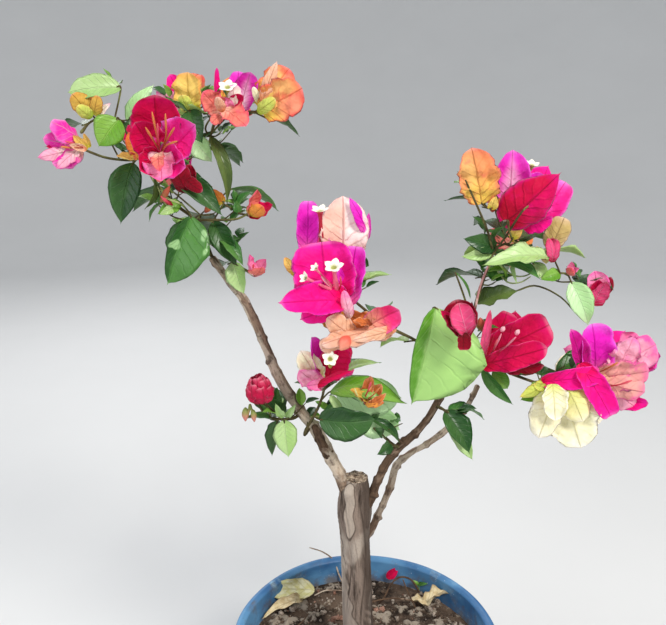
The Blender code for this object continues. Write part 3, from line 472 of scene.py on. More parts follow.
def setMesh(name, points, groups, materials, kinds, uvs, attributes):
    # one smooth mesh from arrays: groups are face arrays of one corner count each, kinds their material
    # indices, uvs give a pair for each corner of each group, attributes a value or a vector for each point
    mesh = bpy.data.meshes.new(name)
    sizes = np.concatenate([np.full(len(group), group.shape[1]) for group in groups])
    corners = np.concatenate([group.ravel() for group in groups])
    points = points.reshape(-1, 3)
    mesh.vertices.add(len(points))
    mesh.loops.add(len(corners))
    mesh.polygons.add(len(sizes))
    mesh.vertices.foreach_set("co", np.asarray(points, np.float32).ravel())
    mesh.loops.foreach_set("vertex_index", corners.astype(np.int32))
    mesh.polygons.foreach_set("loop_start", (np.cumsum(sizes) - sizes).astype(np.int32))
    mesh.update(calc_edges=True)
    for material in materials:
        mesh.materials.append(palette[material])
    mesh.polygons.foreach_set("material_index", np.concatenate(kinds).astype(np.int32))
    for layer, pairs in uvs.items():
        flat = np.concatenate([np.asarray(group, np.float32).reshape(-1) for group in pairs])
        mesh.uv_layers.new(name=layer).data.foreach_set("uv", flat)
    for key, values in attributes.items():
        vector = values.shape[-1] == 3
        store = mesh.attributes.new(key, "FLOAT_VECTOR" if vector else "FLOAT", "POINT")
        store.data.foreach_set("vector" if vector else "value", values.astype(np.float32).ravel())
    mesh.shade_smooth()
    made = bpy.data.objects.new(name, mesh)
    bpy.context.scene.collection.objects.link(made)
    return made


def put(made, slotName, *nodes):
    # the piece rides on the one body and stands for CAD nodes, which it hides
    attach(made, "root")
    if nodes:
        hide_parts(*nodes)


def gridQuads(grid):
    # quads of a grid of point numbers, wound from columns to rows
    return np.stack([grid[:-1, :-1], grid[:-1, 1:], grid[1:, 1:], grid[1:, :-1]], -1).reshape(-1, 4)


def roundFaces(rows, sides, count=1):
    # faces of tubes made of rows of rings, points counted ring by ring: the quads, and a cap at each end
    grid = np.arange(rows * sides).reshape(rows, sides)
    quads = gridQuads(np.concatenate([grid, grid[:, :1]], 1))
    caps = np.stack([grid[0, ::-1], grid[-1]])
    shift = rows * sides * np.arange(count)[:, None, None]
    return [(part[None] + shift).reshape(-1, part.shape[1]) for part in (quads, caps)]


def unrolled(along, sides):
    # the same faces on a sheet: once round is 0 to 1 across, rows lie at the places along, a cap at one point
    sheet = np.stack(np.meshgrid(np.linspace(0, 1, sides + 1), along), -1).reshape(-1, 2)
    wound = sheet[gridQuads(np.arange(len(sheet)).reshape(len(along), -1))]
    return wound, np.stack([np.full((sides, 2), (0.5, end)) for end in (0.0, 1.0)])


def anglesOf(sides):
    return 2 * math.pi * np.arange(sides) / sides


def runOf(steps):
    # length covered at each station, from the steps between them
    return np.concatenate([[0], np.cumsum(steps)])


def inCells(pairs, cells, total):
    # pairs from 0 to 1 moved into square cells of one sheet, with a margin
    side = math.ceil(math.sqrt(total))
    corner = np.stack([cells % side, cells // side], -1) / side
    return corner[:, None, None, :] + (0.05 + 0.90 * pairs[None]) / side


bladeBase = {
    "fold": 0.12, "arch": 0.08, "roll": 0.5, "curl": 0.0, "wave": 0.08, "waves": 2.5, "phase": 0.0,
    "twist": 0.0, "power": 0.55, "widest": 0.40, "lobe": 0.0, "skew": 0.0, "point": 0.05, "ragged": 0.04,
    "crumple": 0.06, "tint": 0.0, "thick": 0.35 * mm,
}


def bladeMesh(name, rows, across, along):
    # point(u, v) = foot + ahead * forward + side * x + normal * y, u from -1 to 1 and v from 0 to 1;
    # half(v) = width / 2 * (v / widest)^power * ((1 - v) / (1 - widest))^(power * (1 - widest) / widest),
    # made wider by skew where u > 0 and narrower where u < 0, with a ragged rim of two sines;
    # x = half * sin(roll * u) / roll and y = half * (1 - cos(roll * u)) / roll + fold * half * |u|
    # + arch * length * 4v(1 - v) + curl * length * v^3 + wave * half * |u|^1.6 * sin(turns of v + phase)
    # + crumple * half * crossing sines; forward = length * v, less by lobe beside the foot and more by point
    # at the tip; (x, y) then turn by twist * v; the underside lies thick * (1 - u^2) below, on the same rim
    def each(key):
        return column(rows, key)[:, None, None]

    def spread(vectors):
        return vectors[:, None, None, :]

    ahead = column(rows, "tip") - column(rows, "foot")
    length = np.linalg.norm(ahead, axis=1)[:, None, None]
    ahead = unit(ahead)
    side = unit(np.cross(ahead, column(rows, "face")))
    normal = np.cross(side, ahead)
    u = np.linspace(-1, 1, across)[None, None, :]
    v = 0.5 - 0.5 * np.cos(math.pi * np.linspace(0, 1, along)[None, :, None])
    safe = np.clip(v, 0.004, 0.996)
    widest = each("widest")
    half = 0.5 * each("width") * (safe / widest) ** each("power")
    half = half * ((1 - safe) / (1 - widest)) ** (each("power") * (1 - widest) / widest)
    half = half * (1 + each("skew") * np.tanh(6 * u))
    phase = 2 * math.pi * each("phase")
    rim = np.sin(19 * v + phase + 2.1 * np.sign(u)) + 0.7 * np.sin(43 * v + 3 * phase + 4.4 * np.sign(u))
    half = half * (1 + each("ragged") * rim * (1 - v) ** 0.3)
    roll = np.where(np.abs(each("roll")) < 0.02, 0.02, each("roll"))
    x = half * np.sin(roll * u) / roll
    y = half * (1 - np.cos(roll * u)) / roll + each("fold") * half * (np.sqrt(u * u + 0.012) - 0.11)
    y = y + each("arch") * length * 4 * v * (1 - v) + each("curl") * length * v ** 3
    ripple = np.sin(2 * math.pi * (each("waves") * v + each("phase")) + 1.3 * u)
    y = y + each("wave") * half * np.abs(u) ** 1.6 * ripple
    folds = np.sin(6.3 * u + 11 * v + phase) * np.sin(9.1 * v - 3.7 * u + 2 * phase)
    y = y + each("crumple") * half * folds * np.sin(math.pi * v)
    forward = v - each("lobe") * u * u * np.exp(-((v / 0.16) ** 2))
    forward = length * (forward + each("point") * (1 - np.abs(u)) ** 1.5 * np.clip(v * 4 - 3, 0, 1) ** 2)
    turn = each("twist") * v
    x, y = x * np.cos(turn) - y * np.sin(turn), x * np.sin(turn) + y * np.cos(turn)
    top = spread(column(rows, "foot")) + spread(ahead) * forward[..., None] + spread(side) * x[..., None]
    top = top + spread(normal) * y[..., None]
    depth = each("thick") * (1 - u * u) * np.minimum(1, 10 * v * (1 - v))
    low = (top - spread(normal) * depth[..., None])[:, 1:-1, 1:-1]
    count = len(rows)
    points = np.concatenate([top.reshape(count, -1, 3), low.reshape(count, -1, 3)], 1)

    grid = np.arange(along * across).reshape(along, across)
    under = grid.copy()
    under[1:-1, 1:-1] = along * across + np.arange((along - 2) * (across - 2)).reshape(along - 2, -1)
    upper = gridQuads(grid)
    shift = points.shape[1] * np.arange(count)[:, None, None]
    mirror = [0, 3, 2, 1]
    faces = (np.concatenate([upper, gridQuads(under)[:, mirror]])[None] + shift).reshape(-1, 4)
    place = np.stack(np.broadcast_arrays(u[0] * 0.5 + 0.5, v[0]), -1).reshape(-1, 2)
    pairs = np.concatenate([place[upper], place[upper[:, mirror]]])
    cells = np.arange(count)
    sheet = np.concatenate([inCells(place[upper], cells, 2 * count),
                            inCells(place[upper[:, mirror]], cells + count, 2 * count)], 1)
    names = sorted({row["look"] for row in rows})
    kinds = np.repeat([names.index(row["look"]) for row in rows], len(pairs))
    shade = np.zeros((count, points.shape[1]))
    shade[:, along * across:] = 1.0
    tint = np.repeat(column(rows, "tint"), points.shape[1])
    return setMesh(name, points, [faces], names, [kinds],
                   {"OFBake": [sheet], "blade": [np.tile(pairs, (count, 1, 1))]},
                   {"tint": tint, "under": shade.ravel()})


def curveThrough(route, count):
    # cubic curve through the points of a route, read at equal steps; its slope at a point is half the way
    # from the point before to the point after
    p = np.array(route, float)
    p = np.vstack([2 * p[0] - p[1], p, 2 * p[-1] - p[-2]])
    t = np.linspace(0, len(route) - 1, count)
    i = np.minimum(t.astype(int), len(route) - 2)
    f = (t - i)[:, None]
    a, b, c, d = p[i], p[i + 1], p[i + 2], p[i + 3]
    square, cube = 2 * a - 5 * b + 4 * c - d, 3 * b - a - 3 * c + d
    return 0.5 * (2 * b + (c - a) * f + square * f ** 2 + cube * f ** 3)


def readAlong(values, count):
    # values given at equal steps, read at count stations
    return np.interp(np.linspace(0, 1, count), np.linspace(0, 1, len(values)), values)


def framesAlong(centres, start):
    # tangents of routes and two side vectors, carried along them without twist
    tangent = unit(np.gradient(centres, axis=1))
    side = np.zeros_like(tangent)
    last = np.broadcast_to(np.array(start, float), tangent[:, 0].shape)
    for i in range(tangent.shape[1]):
        last = unit(last - tangent[:, i] * np.sum(last * tangent[:, i], -1, keepdims=True))
        side[:, i] = last
    return tangent, side, np.cross(tangent, side)


def ringWays(side, other, angle):
    # the ways out from an axis at each angle: side * cos a + other * sin a
    return side[..., None, :] * np.cos(angle)[:, None] + other[..., None, :] * np.sin(angle)[:, None]


def barkPlace(wide, angle, run):
    # a place for the bark: (wide * cos a, wide * sin a, length run), as if the limb were straight
    return np.stack(np.broadcast_arrays(wide * np.cos(angle), wide * np.sin(angle), run[..., None]), -1)


def sheetsOf(groups, count):
    # copies of face groups: each in a cell of its own to be baked, all alike for the materials
    cells = np.arange(count)
    return {"OFBake": [inCells(pairs, cells, count) for pairs in groups],
            "blade": [np.tile(pairs, (count, 1, 1)) for pairs in groups]}


def tubeMesh(name, rows, stations, sides):
    # point(s, a) = centre(s) + (side * cos a + other * sin a) * radius(s), with blunt closed ends
    centres = np.array([curveThrough(row["route"], stations) for row in rows])
    radii = np.array([readAlong(row["radii"], stations) for row in rows])
    radii[:, [0, -1]] *= 0.75
    _, side, other = framesAlong(centres, (0.31, 0.83, 0.47))
    angle = anglesOf(sides)
    points = centres[:, :, None] + ringWays(side, other, angle) * radii[:, :, None, None]
    count = len(rows)
    steps = np.linalg.norm(np.diff(centres, axis=1), axis=-1)
    run = np.concatenate([np.zeros((count, 1)), np.cumsum(steps, 1)], 1) + 0.037 * np.arange(count)[:, None]
    names = sorted({row["look"] for row in rows})
    look = np.array([names.index(row["look"]) for row in rows])
    wound = unrolled(np.linspace(0.1, 0.9, stations), sides)[0]
    disc = 0.5 + 0.04 * np.stack([np.cos(angle), np.sin(angle)], -1)
    discs = np.stack([disc[::-1] * (1, 0.06), disc * (1, 0.06) + (0, 0.92)])
    return setMesh(name, points, roundFaces(stations, sides, count), names,
                   [np.repeat(look, len(wound)), np.repeat(look, 2)], sheetsOf((wound, discs), count),
                   {"limbPlace": barkPlace(radii.mean(1)[:, None, None], angle, run)})


def latheMesh(name, rows, profile, split, lobes, sides):
    # point(s, a) = foot + axis * length * height(s) + (first * cos a + second * sin a) * radius(s) * width,
    # radius stretched by lobe(s) * cos(lobes * a); stations past split take the row's second look
    table = np.array(profile, float)
    count, stations = len(rows), len(table)
    axis = unit(column(rows, "axis"))
    first = unit(np.cross(axis, np.array([0.36, 0.21, 0.91])))
    second = np.cross(axis, first)
    angle = anglesOf(sides)
    radius = table[:, 1, None] * (1 + table[:, 2, None] * np.cos(lobes * angle))
    height = table[:, 0, None] + table[:, 3, None] * np.cos(lobes * angle)
    radius = radius[None] * column(rows, "width")[:, None, None]
    height = height[None] * column(rows, "length")[:, None, None]
    points = column(rows, "foot")[:, None, None] + axis[:, None, None] * height[..., None]
    points = points + ringWays(first, second, angle)[:, None] * radius[..., None]
    names = sorted({row[key] for row in rows for key in ("look", "second")})
    body, mouth = (np.array([names.index(row[key]) for row in rows]) for key in ("look", "second"))
    past = np.repeat(np.arange(stations - 1) >= split, sides)
    kinds = np.where(past[None], mouth[:, None], body[:, None])
    return setMesh(name, points, roundFaces(stations, sides, count), names,
                   [kinds.ravel(), np.stack([body, mouth], -1).ravel()],
                   sheetsOf(unrolled(np.linspace(0, 1, stations), sides), count), {})


# The camera: place in metres, degrees it looks down, sensor width in mm, focal length in sensor widths
shot = {"place": (-0.0243, -0.437, 0.531), "down": 15.7, "sensor": 36.0, "focus": 700 / 666}


def setCamera():
    lens = bpy.data.cameras.new("camera")
    lens.sensor_width = shot["sensor"]
    lens.lens = shot["focus"] * shot["sensor"]
    lens.clip_start = 0.01
    camera = bpy.data.objects.new("camera", lens)
    camera.location = shot["place"]
    camera.rotation_euler = (math.radians(90 - shot["down"]), 0, 0)
    bpy.context.scene.collection.objects.link(camera)
    bpy.context.scene.camera = camera


lamps = {
    "key": {"place": (0.75, -0.95, 1.55), "aim": (0, 0, 0.36), "size": 0.55, "watts": 25,
            "colour": (1, 0.97, 0.92)},
    "fill": {"place": (-1.2, -0.9, 0.9), "aim": (0, 0, 0.36), "size": 1.4, "watts": 9,
             "colour": (0.93, 0.96, 1)},
    "back": {"place": (-0.5, 1.3, 1.3), "aim": (0, 0, 0.40), "size": 1.2, "watts": 10,
             "colour": (0.98, 0.98, 1)},
}
sky = {"colour": (0.80, 0.83, 0.88, 1.0), "strength": 0.72}


def setLights():
    for name, plan in lamps.items():
        lamp = bpy.data.lights.new(name, "AREA")
        lamp.shape = "DISK"
        lamp.size = plan["size"]
        lamp.energy = plan["watts"]
        lamp.color = plan["colour"]
        made = bpy.data.objects.new(name, lamp)
        made.location = plan["place"]
        made.rotation_euler = (Vector(plan["aim"]) - made.location).to_track_quat("-Z", "Y").to_euler()
        bpy.context.scene.collection.objects.link(made)
    world = bpy.data.worlds.new("pale sky")
    world.use_nodes = True
    background = world.node_tree.nodes["Background"]
    background.inputs["Color"].default_value = sky["colour"]
    background.inputs["Strength"].default_value = sky["strength"]
    bpy.context.scene.world = world


ground = {"half": 6.0, "rows": 90, "flat": 2.2, "drop": 0.0006, "rise": 0.28, "dark": (0.70, 0.70, 0.69),
          "pale": (0.76, 0.76, 0.75)}


def setFloor():
    # floor and backdrop as one sheet: height(d) = -drop, and rise * (d - flat)^2 more beyond the flat radius
    rows = ground["rows"]
    line = np.linspace(-ground["half"], ground["half"], rows)
    x, y = np.meshgrid(line, line)
    height = ground["rise"] * np.maximum(np.hypot(x, y) - ground["flat"], 0) ** 2 - ground["drop"]
    quads = gridQuads(np.arange(rows * rows).reshape(rows, rows))
    paint = Paint("pale floor", {"Roughness": 0.9})
    cloud = paint.noise(paint.space(), 3.0, 3.0)
    palette["pale floor"] = paint.finish(paint.mix(cloud, ground["dark"], ground["pale"]))
    points = np.stack([x, y, height], -1)
    setMesh("floor", points, [quads], ["pale floor"], [np.zeros(len(quads))], {}, {})


bpy.context.scene.view_settings.view_transform = "Standard"
setCamera()
setLights()
setFloor()
print("camera, lights and floor set")


# The pot's measures in mm: height of the lip's top, radii, wall, height of the lip band and of the floor,
# and how far the rim sways
pot = {"height": 160, "rim": 99.6, "base": 70, "neck": 95, "wall": 2.4, "lip": 12, "floor": 3, "sides": 192,
       "sway": 0.5}


def smoothLine(corners, steps):
    # a line's corners cut off again and again: each span gives points at a quarter and three quarters
    line = np.array(corners, float)
    for _ in range(steps):
        a, b = line[:-1], line[1:]
        cut = np.stack([0.75 * a + 0.25 * b, 0.25 * a + 0.75 * b], 1).reshape(-1, 2)
        line = np.vstack([line[:1], cut, line[-1:]])
    return line


def makePot():
    # profile (radius, height) turned about Z; the radius sways by a slow wave, more towards the lip
    top, neck, rim, base = pot["height"], pot["neck"], pot["rim"], pot["base"]
    under, wall, sides = top - pot["lip"], pot["wall"], pot["sides"]
    slope = [(base + (neck - base) * t, under * t) for t in np.linspace(0.03, 0.97, 9)]
    outside = [(0.5, 2.5), (base - 8, 2.5), (base - 6, 0.3), (base - 2, 0), *slope, (neck, under),
               (neck + 0.5, under + 0.6), (rim - 1.6, under + 1), (rim, under + 3), (rim, top - 5),
               (rim - 0.1, top - 2.2), (rim - 0.9, top - 0.4), (rim - 2, top - 0.05), (rim - 3.6, top - 0.1),
               (rim - 4.7, top - 0.7)]
    inside = [(neck - wall + 0.1, top - 2.2), (neck - wall, top - 4)]
    inside += [(base - wall + (neck - base) * t, under * t + 3) for t in np.linspace(0.95, 0.10, 7)]
    inside += [(base - wall - 2, pot["floor"] + 0.6), (base - wall - 5, pot["floor"]), (0.5, pot["floor"])]
    line = smoothLine(outside + inside, 2)
    split = int(np.argmin(np.hypot(line[:, 0] - (rim - 4.0), line[:, 1] - top)))
    angle = anglesOf(sides)
    share = np.clip(line[:, 1] / top, 0, 1)[:, None] ** 2
    wave = 0.55 * np.sin(3 * angle + 0.7) + 0.30 * np.sin(7 * angle) + 0.15 * np.sin(13 * angle + 2) - 1
    moving = share * (line[:, :1] > 20)
    radius = line[:, :1] + moving * pot["sway"] * wave
    height = line[:, 1:] - moving * 0.25 * (1 + np.sin(5 * angle + 1))
    points = np.stack([radius * np.cos(angle), radius * np.sin(angle), height], -1) * mm
    rows = len(line)
    run = runOf(np.hypot(*np.diff(line, axis=0).T))
    made = setMesh("pot_shell", points, roundFaces(rows, sides), ["blue plastic"],
                   [np.zeros((rows - 1) * sides + 2)], {"OFBake": unrolled(run / run[-1], sides)},
                   {"inside": np.repeat((np.arange(rows) >= split).astype(float), sides)})
    put(made, "pot_plastic", "pot")


# The soil in mm: its surface, seeded clods between two sizes, the plug below down to the floor, crumbs
soil = {"level": 139.2, "radius": 91.0, "mound": 4.0, "clods": 620, "clodSizes": (1.8, 8.8), "seed": 5,
        "rings": 120, "sides": 300, "plug": [(90.2, 130), (80, 70), (68, 8), (62, 4.4), (0.5, 4.4)],
        "crumbs": 900, "crumbSizes": (0.5, 2.6), "crumbRings": 6, "crumbSides": 7, "crumbSeed": 12,
        "crumbShares": {"dark crumb": 0.42, "pale crumb": 0.47, "red crumb": 0.11}}


def soilHeight(x, y):
    # level + a slow swell + the highest dome among seeded clods, each sqrt(size^2 - distance^2), + fine
    # ripples, in mm
    dice = np.random.default_rng(soil["seed"])
    count = soil["clods"]
    spot = dice.uniform(-1, 1, (count, 2)) * soil["radius"]
    least, most = soil["clodSizes"]
    size = least + (most - least) * dice.random(count) ** 2.2
    sink = dice.uniform(0.45, 0.95, count) * size
    height = np.zeros(x.shape)
    for k in range(count):
        lobed = size[k] * (1 + 0.16 * np.sin(3 * np.arctan2(y - spot[k, 1], x - spot[k, 0]) + k))
        gap = (x - spot[k, 0]) ** 2 + (y - spot[k, 1]) ** 2
        dome = np.sqrt(np.maximum(lobed ** 2 - gap, 0)) - sink[k]
        height = np.maximum(height, np.where(gap < lobed ** 2, dome, 0))
    far = np.hypot(x, y) / soil["radius"]
    swell = np.sin(x * 0.061 + 1.1) * np.cos(y * 0.052 + 0.4) + 0.6 * np.sin(0.09 * x - 0.12 * y)
    fine = np.sin(x * 1.9 + 2 * np.sin(y * 0.7)) * np.sin(y * 2.3 + 2 * np.sin(x * 0.9)) * 0.22
    rim = np.clip((1 - far) * 14, 0, 1)
    rest = soil["level"] + soil["mound"] * np.sin(np.pi * np.clip(far, 0, 1)) * 0.35 * swell
    return rest + (height * 0.8 + fine) * rim, height


def makeSoil():
    # a disc r = radius * t, whose height is soilHeight, closed below by the rings of the plug
    rings, sides = soil["rings"], soil["sides"]
    share = np.linspace(0.004, 1, rings)[:, None]
    angle = anglesOf(sides)
    x, y = soil["radius"] * share * np.cos(angle), soil["radius"] * share * np.sin(angle)
    z, raised = soilHeight(x, y)
    low = np.array(soil["plug"], float)
    skirt = [low[:, :1] * np.cos(angle), low[:, :1] * np.sin(angle), low[:, 1:] * np.ones(sides)]
    points = np.concatenate([np.stack([x, y, z], -1), np.stack(skirt, -1)]) * mm
    quads, caps = (part[:, ::-1] for part in roundFaces(len(points), sides))
    flat = 0.5 + np.stack([x, y], -1) / (2.1 * soil["radius"])
    flat = np.concatenate([flat, np.full((len(low), sides, 2), 0.02)]).reshape(-1, 2)
    lifted = np.concatenate([raised / 3, np.zeros((len(low), sides))]).ravel()
    made = setMesh("soil_surface", points, [quads, caps], ["potting soil"], [np.zeros(len(quads) + 2)],
                   {"OFBake": [flat[quads], flat[caps]]}, {"raised": lifted})
    put(made, "soil", "soil")


def makeCrumbs():
    # loose lumps on the soil: point(s, a) = centre + size * squash * (1 + dents) * a sphere's point
    dice = np.random.default_rng(soil["crumbSeed"])
    rings, sides = soil["crumbRings"], soil["crumbSides"]
    far = soil["radius"] * 0.96 * np.sqrt(dice.random(soil["crumbs"]))
    turn = dice.uniform(0, 2 * math.pi, soil["crumbs"])
    spot = np.stack([far * np.cos(turn), far * np.sin(turn)], -1)
    spot = spot[np.hypot(spot[:, 0] + 3, spot[:, 1]) > 17]  # none within the foot of the trunk
    count = len(spot)
    size = soil["crumbSizes"][0] + soil["crumbSizes"][1] * dice.random(count) ** 3
    height = soilHeight(spot[:, 0], spot[:, 1])[0]
    polar = np.linspace(0.25, math.pi - 0.25, rings)[:, None]
    angle = anglesOf(sides)
    ball = [np.sin(polar) * np.cos(angle), np.sin(polar) * np.sin(angle), np.cos(polar)]
    ball = np.stack(np.broadcast_arrays(*ball), -1)
    dents = 1 + 0.28 * dice.standard_normal((count, rings, sides, 1)).clip(-1.5, 1.5)
    squash = dice.uniform(0.6, 1.1, (count, 1, 1, 3))
    points = ball[None] * dents * squash * size[:, None, None, None]
    points = points + np.stack([spot[:, 0], spot[:, 1], height + 0.35 * size], -1)[:, None, None]
    shares = soil["crumbShares"]
    look = dice.choice(3, count, p=list(shares.values()))
    quads, caps = (part[:, ::-1] for part in roundFaces(rings, sides, count))
    kinds = [np.repeat(look, (rings - 1) * sides), np.repeat(look, 2)]
    put(setMesh("soil_crumbs", points * mm, [quads, caps], list(shares), kinds, {}, {}), "soil", "soil")


makePot()
makeSoil()
makeCrumbs()
print("pot and soil made")


# Litter on the soil, in mm: fallen leaves and petals, a seedling, surface roots and a dry stalk over the lip.
# Leaves: look, foot, tip, width, the way the upper face looks, shape; strands: look, radii, route
litter = {
    "leaves": [
        ("yellow leaf", (-40, 70, 144), (-83, 68, 150), 19, (0.1, -0.75, 0.8),
         {"roll": 0.7, "fold": 0.35, "wave": 0.40, "waves": 1.7, "arch": 0.12, "twist": 0.5, "curl": 0.1,
          "phase": 0.2, "crumple": 0.16, "ragged": 0.05}),
        ("dry leaf", (-50, 62, 143), (-80, 33, 146), 11, (0.3, -0.6, 0.8),
         {"roll": 1.0, "wave": 0.4, "arch": 0.15, "twist": -0.5, "phase": 0.5, "crumple": 0.15}),
        ("dry leaf", (50, 54, 142), (74, 58, 149), 15, (-0.2, -0.5, 1),
         {"roll": 1.2, "wave": 0.35, "arch": 0.18, "twist": 0.9, "phase": 0.1}),
        ("dry leaf", (40, 62, 142), (54, 50, 144), 9, (0.2, -0.2, 1),
         {"roll": 0.9, "wave": 0.3, "arch": 0.10, "phase": 0.7}),
        ("dry leaf", (-30, -52, 142), (-52, -60, 144), 15, (0.1, 0.1, 1),
         {"roll": 0.7, "wave": 0.3, "arch": 0.12, "phase": 0.3}),
        ("yellow leaf", (36, -40, 142), (58, -52, 144), 16, (-0.1, 0.1, 1),
         {"roll": 0.6, "wave": 0.3, "arch": 0.12, "phase": 0.9}),
        ("crimson", (22, 84, 146), (32, 88, 153), 9, (-0.1, -1, 0.4), {"roll": 0.9, "wave": 0.2}),
        ("magenta", (-46, -20, 143), (-62, -30, 145), 13, (0, 0.1, 1), {"roll": 0.7, "wave": 0.25}),
        ("leaf", (49, 74, 146), (56, 72, 149), 3.5, (0, -0.4, 1), {"roll": 0.4}),
        ("leafBright", (49, 74, 146), (43, 75, 150), 3.2, (0, -0.4, 1), {"roll": 0.4}),
        ("leaf", (49, 74, 147), (51, 70, 152), 3, (0, -0.8, 1), {"roll": 0.4}),
    ],
    "strands": [
        ("dark bark", (0.9, 0.8, 0.7, 0.8, 0.8, 0.9),
         [(14, 60, 139), (18, 58, 146), (24, 61, 157), (32, 66, 160), (42, 70, 154), (50, 71, 140)]),
        ("dark bark", (0.8, 0.7, 0.6, 0.7, 0.8),
         [(4, 58, 139), (12, 57, 144), (26, 56, 147), (40, 56, 145), (49, 57, 139)]),
        ("dark bark", (0.6, 0.5, 0.5), [(34, 66, 158), (38, 60, 150), (44, 52, 140)]),
        ("pale bark", (0.8, 0.7, 0.7, 0.6, 0.5),
         [(-15, 82, 140), (-19, 87, 147), (-24, 92, 158), (-33, 95, 164), (-45, 96, 168)]),
        ("leafBright", (0.5, 0.45, 0.4), [(49, 74, 139), (49, 74, 143), (49, 74, 147)]),
        ("pale bark", (0.5, 0.5, 0.4), [(-40, 66, 142), (-30, 70, 144), (-14, 71, 143)]),
        ("dark bark", (0.6, 0.5, 0.4), [(-62, 20, 142), (-50, 30, 144), (-44, 44, 142)]),
        ("pale bark", (0.6, 0.6, 0.4), [(10, -40, 142), (30, -60, 144), (46, -62, 142)]),
    ],
}


def spot(point):
    return Vector(point) * mm


def layLitter():
    # leaves and strands by the formulas of bladeMesh and tubeMesh
    leaves = [{**bladeBase, "look": look, "foot": spot(foot), "tip": spot(tip), "width": width * mm,
               "face": face, **shape} for look, foot, tip, width, face, shape in litter["leaves"]]
    strands = [{"look": look, "radii": np.array(radii) * mm, "route": [spot(p) for p in route]}
               for look, radii, route in litter["strands"]]
    put(bladeMesh("litter_leaves", leaves, 13, 21), "foliage")
    put(tubeMesh("litter_strands", strands, 40, 8), "twigs")


layLitter()
print("litter laid")


def valley(a, s, turns, lean, pitch, phase):
    # 1 in a sharp furrow, where |sin| passes 0, and 0 away from it; it wanders with the height s
    wave = np.abs(np.sin(turns * a / 2 + lean * np.sin(pitch * s + phase) + phase))
    return np.clip(1 - wave / 0.30, 0, 1) ** 1.5


def bump(a, s, angle, height, wide, tall):
    # a rounded swelling at an angle and a height
    gap = np.angle(np.exp(1j * (a - angle)))
    return np.exp(-((gap / wide) ** 2) - ((s - height) / tall) ** 2)


def limbMesh(name, looksUsed, centres, radii, relief, lift, hollow, bare, kind):
    # point(s, a) = centre(s) + (side * cos a + other * sin a) * (radius(s) + relief(s, a))
    # + tangent * lift(s, a), in mm; hollow darkens the bark in hollows and in painted shade, bare pales it
    #   where
    # it is bare and in painted sunlight, kind gives each face its look
    centres, radii, relief, lift = centres * mm, radii * mm, relief * mm, lift * mm
    tangent, side, other = (part[0] for part in framesAlong(centres[None], (1.0, 0.0, 0.0)))
    rows, sides = relief.shape
    angle = anglesOf(sides)
    points = centres[:, None] + ringWays(side, other, angle) * (radii[:, None] + relief)[..., None]
    points = points + tangent[:, None] * lift[..., None]
    run = runOf(np.linalg.norm(np.diff(centres, axis=0), axis=1))
    place = barkPlace(np.median(radii), angle, run)
    return setMesh(name, points, roundFaces(rows, sides), looksUsed, [kind[:-1].ravel(), kind[[0, -1], 0]],
                   {"OFBake": unrolled(run / run[-1], sides)},
                   {"limbPlace": place, "hollow": hollow.ravel(), "bare": bare.ravel()})


# The trunk in mm. Furrows: turns, lean, pitch and phase, then least, swing, rise, around and shift of their
# strength, least + swing * sin(rise * s + around * a + shift). Knots: height of the swelling, its angle from
# the front, its height on the trunk, width in radians, half height. Flakes of bark are given as knots
trunk = {
    "axis": [(-3, 0, 139), (-3.6, 0, 146), (-4, 0, 152), (-6, 0, 178), (-7, 0, 205), (-8, 0, 235),
             (-9, 0, 262), (-9, 0, 280), (-9, 0, 289)],
    "radii": (15.5, 13.2, 12.0, 10.9, 10.5, 10.3, 10.6, 9.8, 8.4), "rows": 300, "sides": 200,
    "headRows": 26,
    "furrows": {"wide": (6, 0.9, 0.045, 0.4, 0.6, 0.4, 0.09, 2, 0),
                "narrow": (14, 1.3, 0.07, 1.9, 0.5, 0.5, 0.13, 3, 1),
                "fine": (31, 1.8, 0.16, 0.8, 0.5, 0.5, 0.31, -5, 0),
                "cross": (2, 2.2, 0.55, 2.6, 0.5, 0.5, 0.21, 7, 0)},
    "knots": [(1.3, 1.5 * math.pi, 266, 0.75, 11), (1.8, 0.25 + math.pi / 2, 262, 0.6, 9),
              (1.3, 1.1 + math.pi / 2, 233, 0.6, 8), (1.1, -0.8, 281, 0.5, 4), (1.2, 0.5, 286, 0.5, 3.5),
              (0.8, 0.9, 205, 0.35, 4)],
    "flakes": [(0.8, -0.85, 215, 0.30, 16), (0.7, 0.75, 178, 0.28, 12)],
    "furrowDepth": 0.75, "skin": 0.35, "front": -math.pi / 2, "plateFoot": 262, "plateTop": 292,
    "flareTop": 158,
}


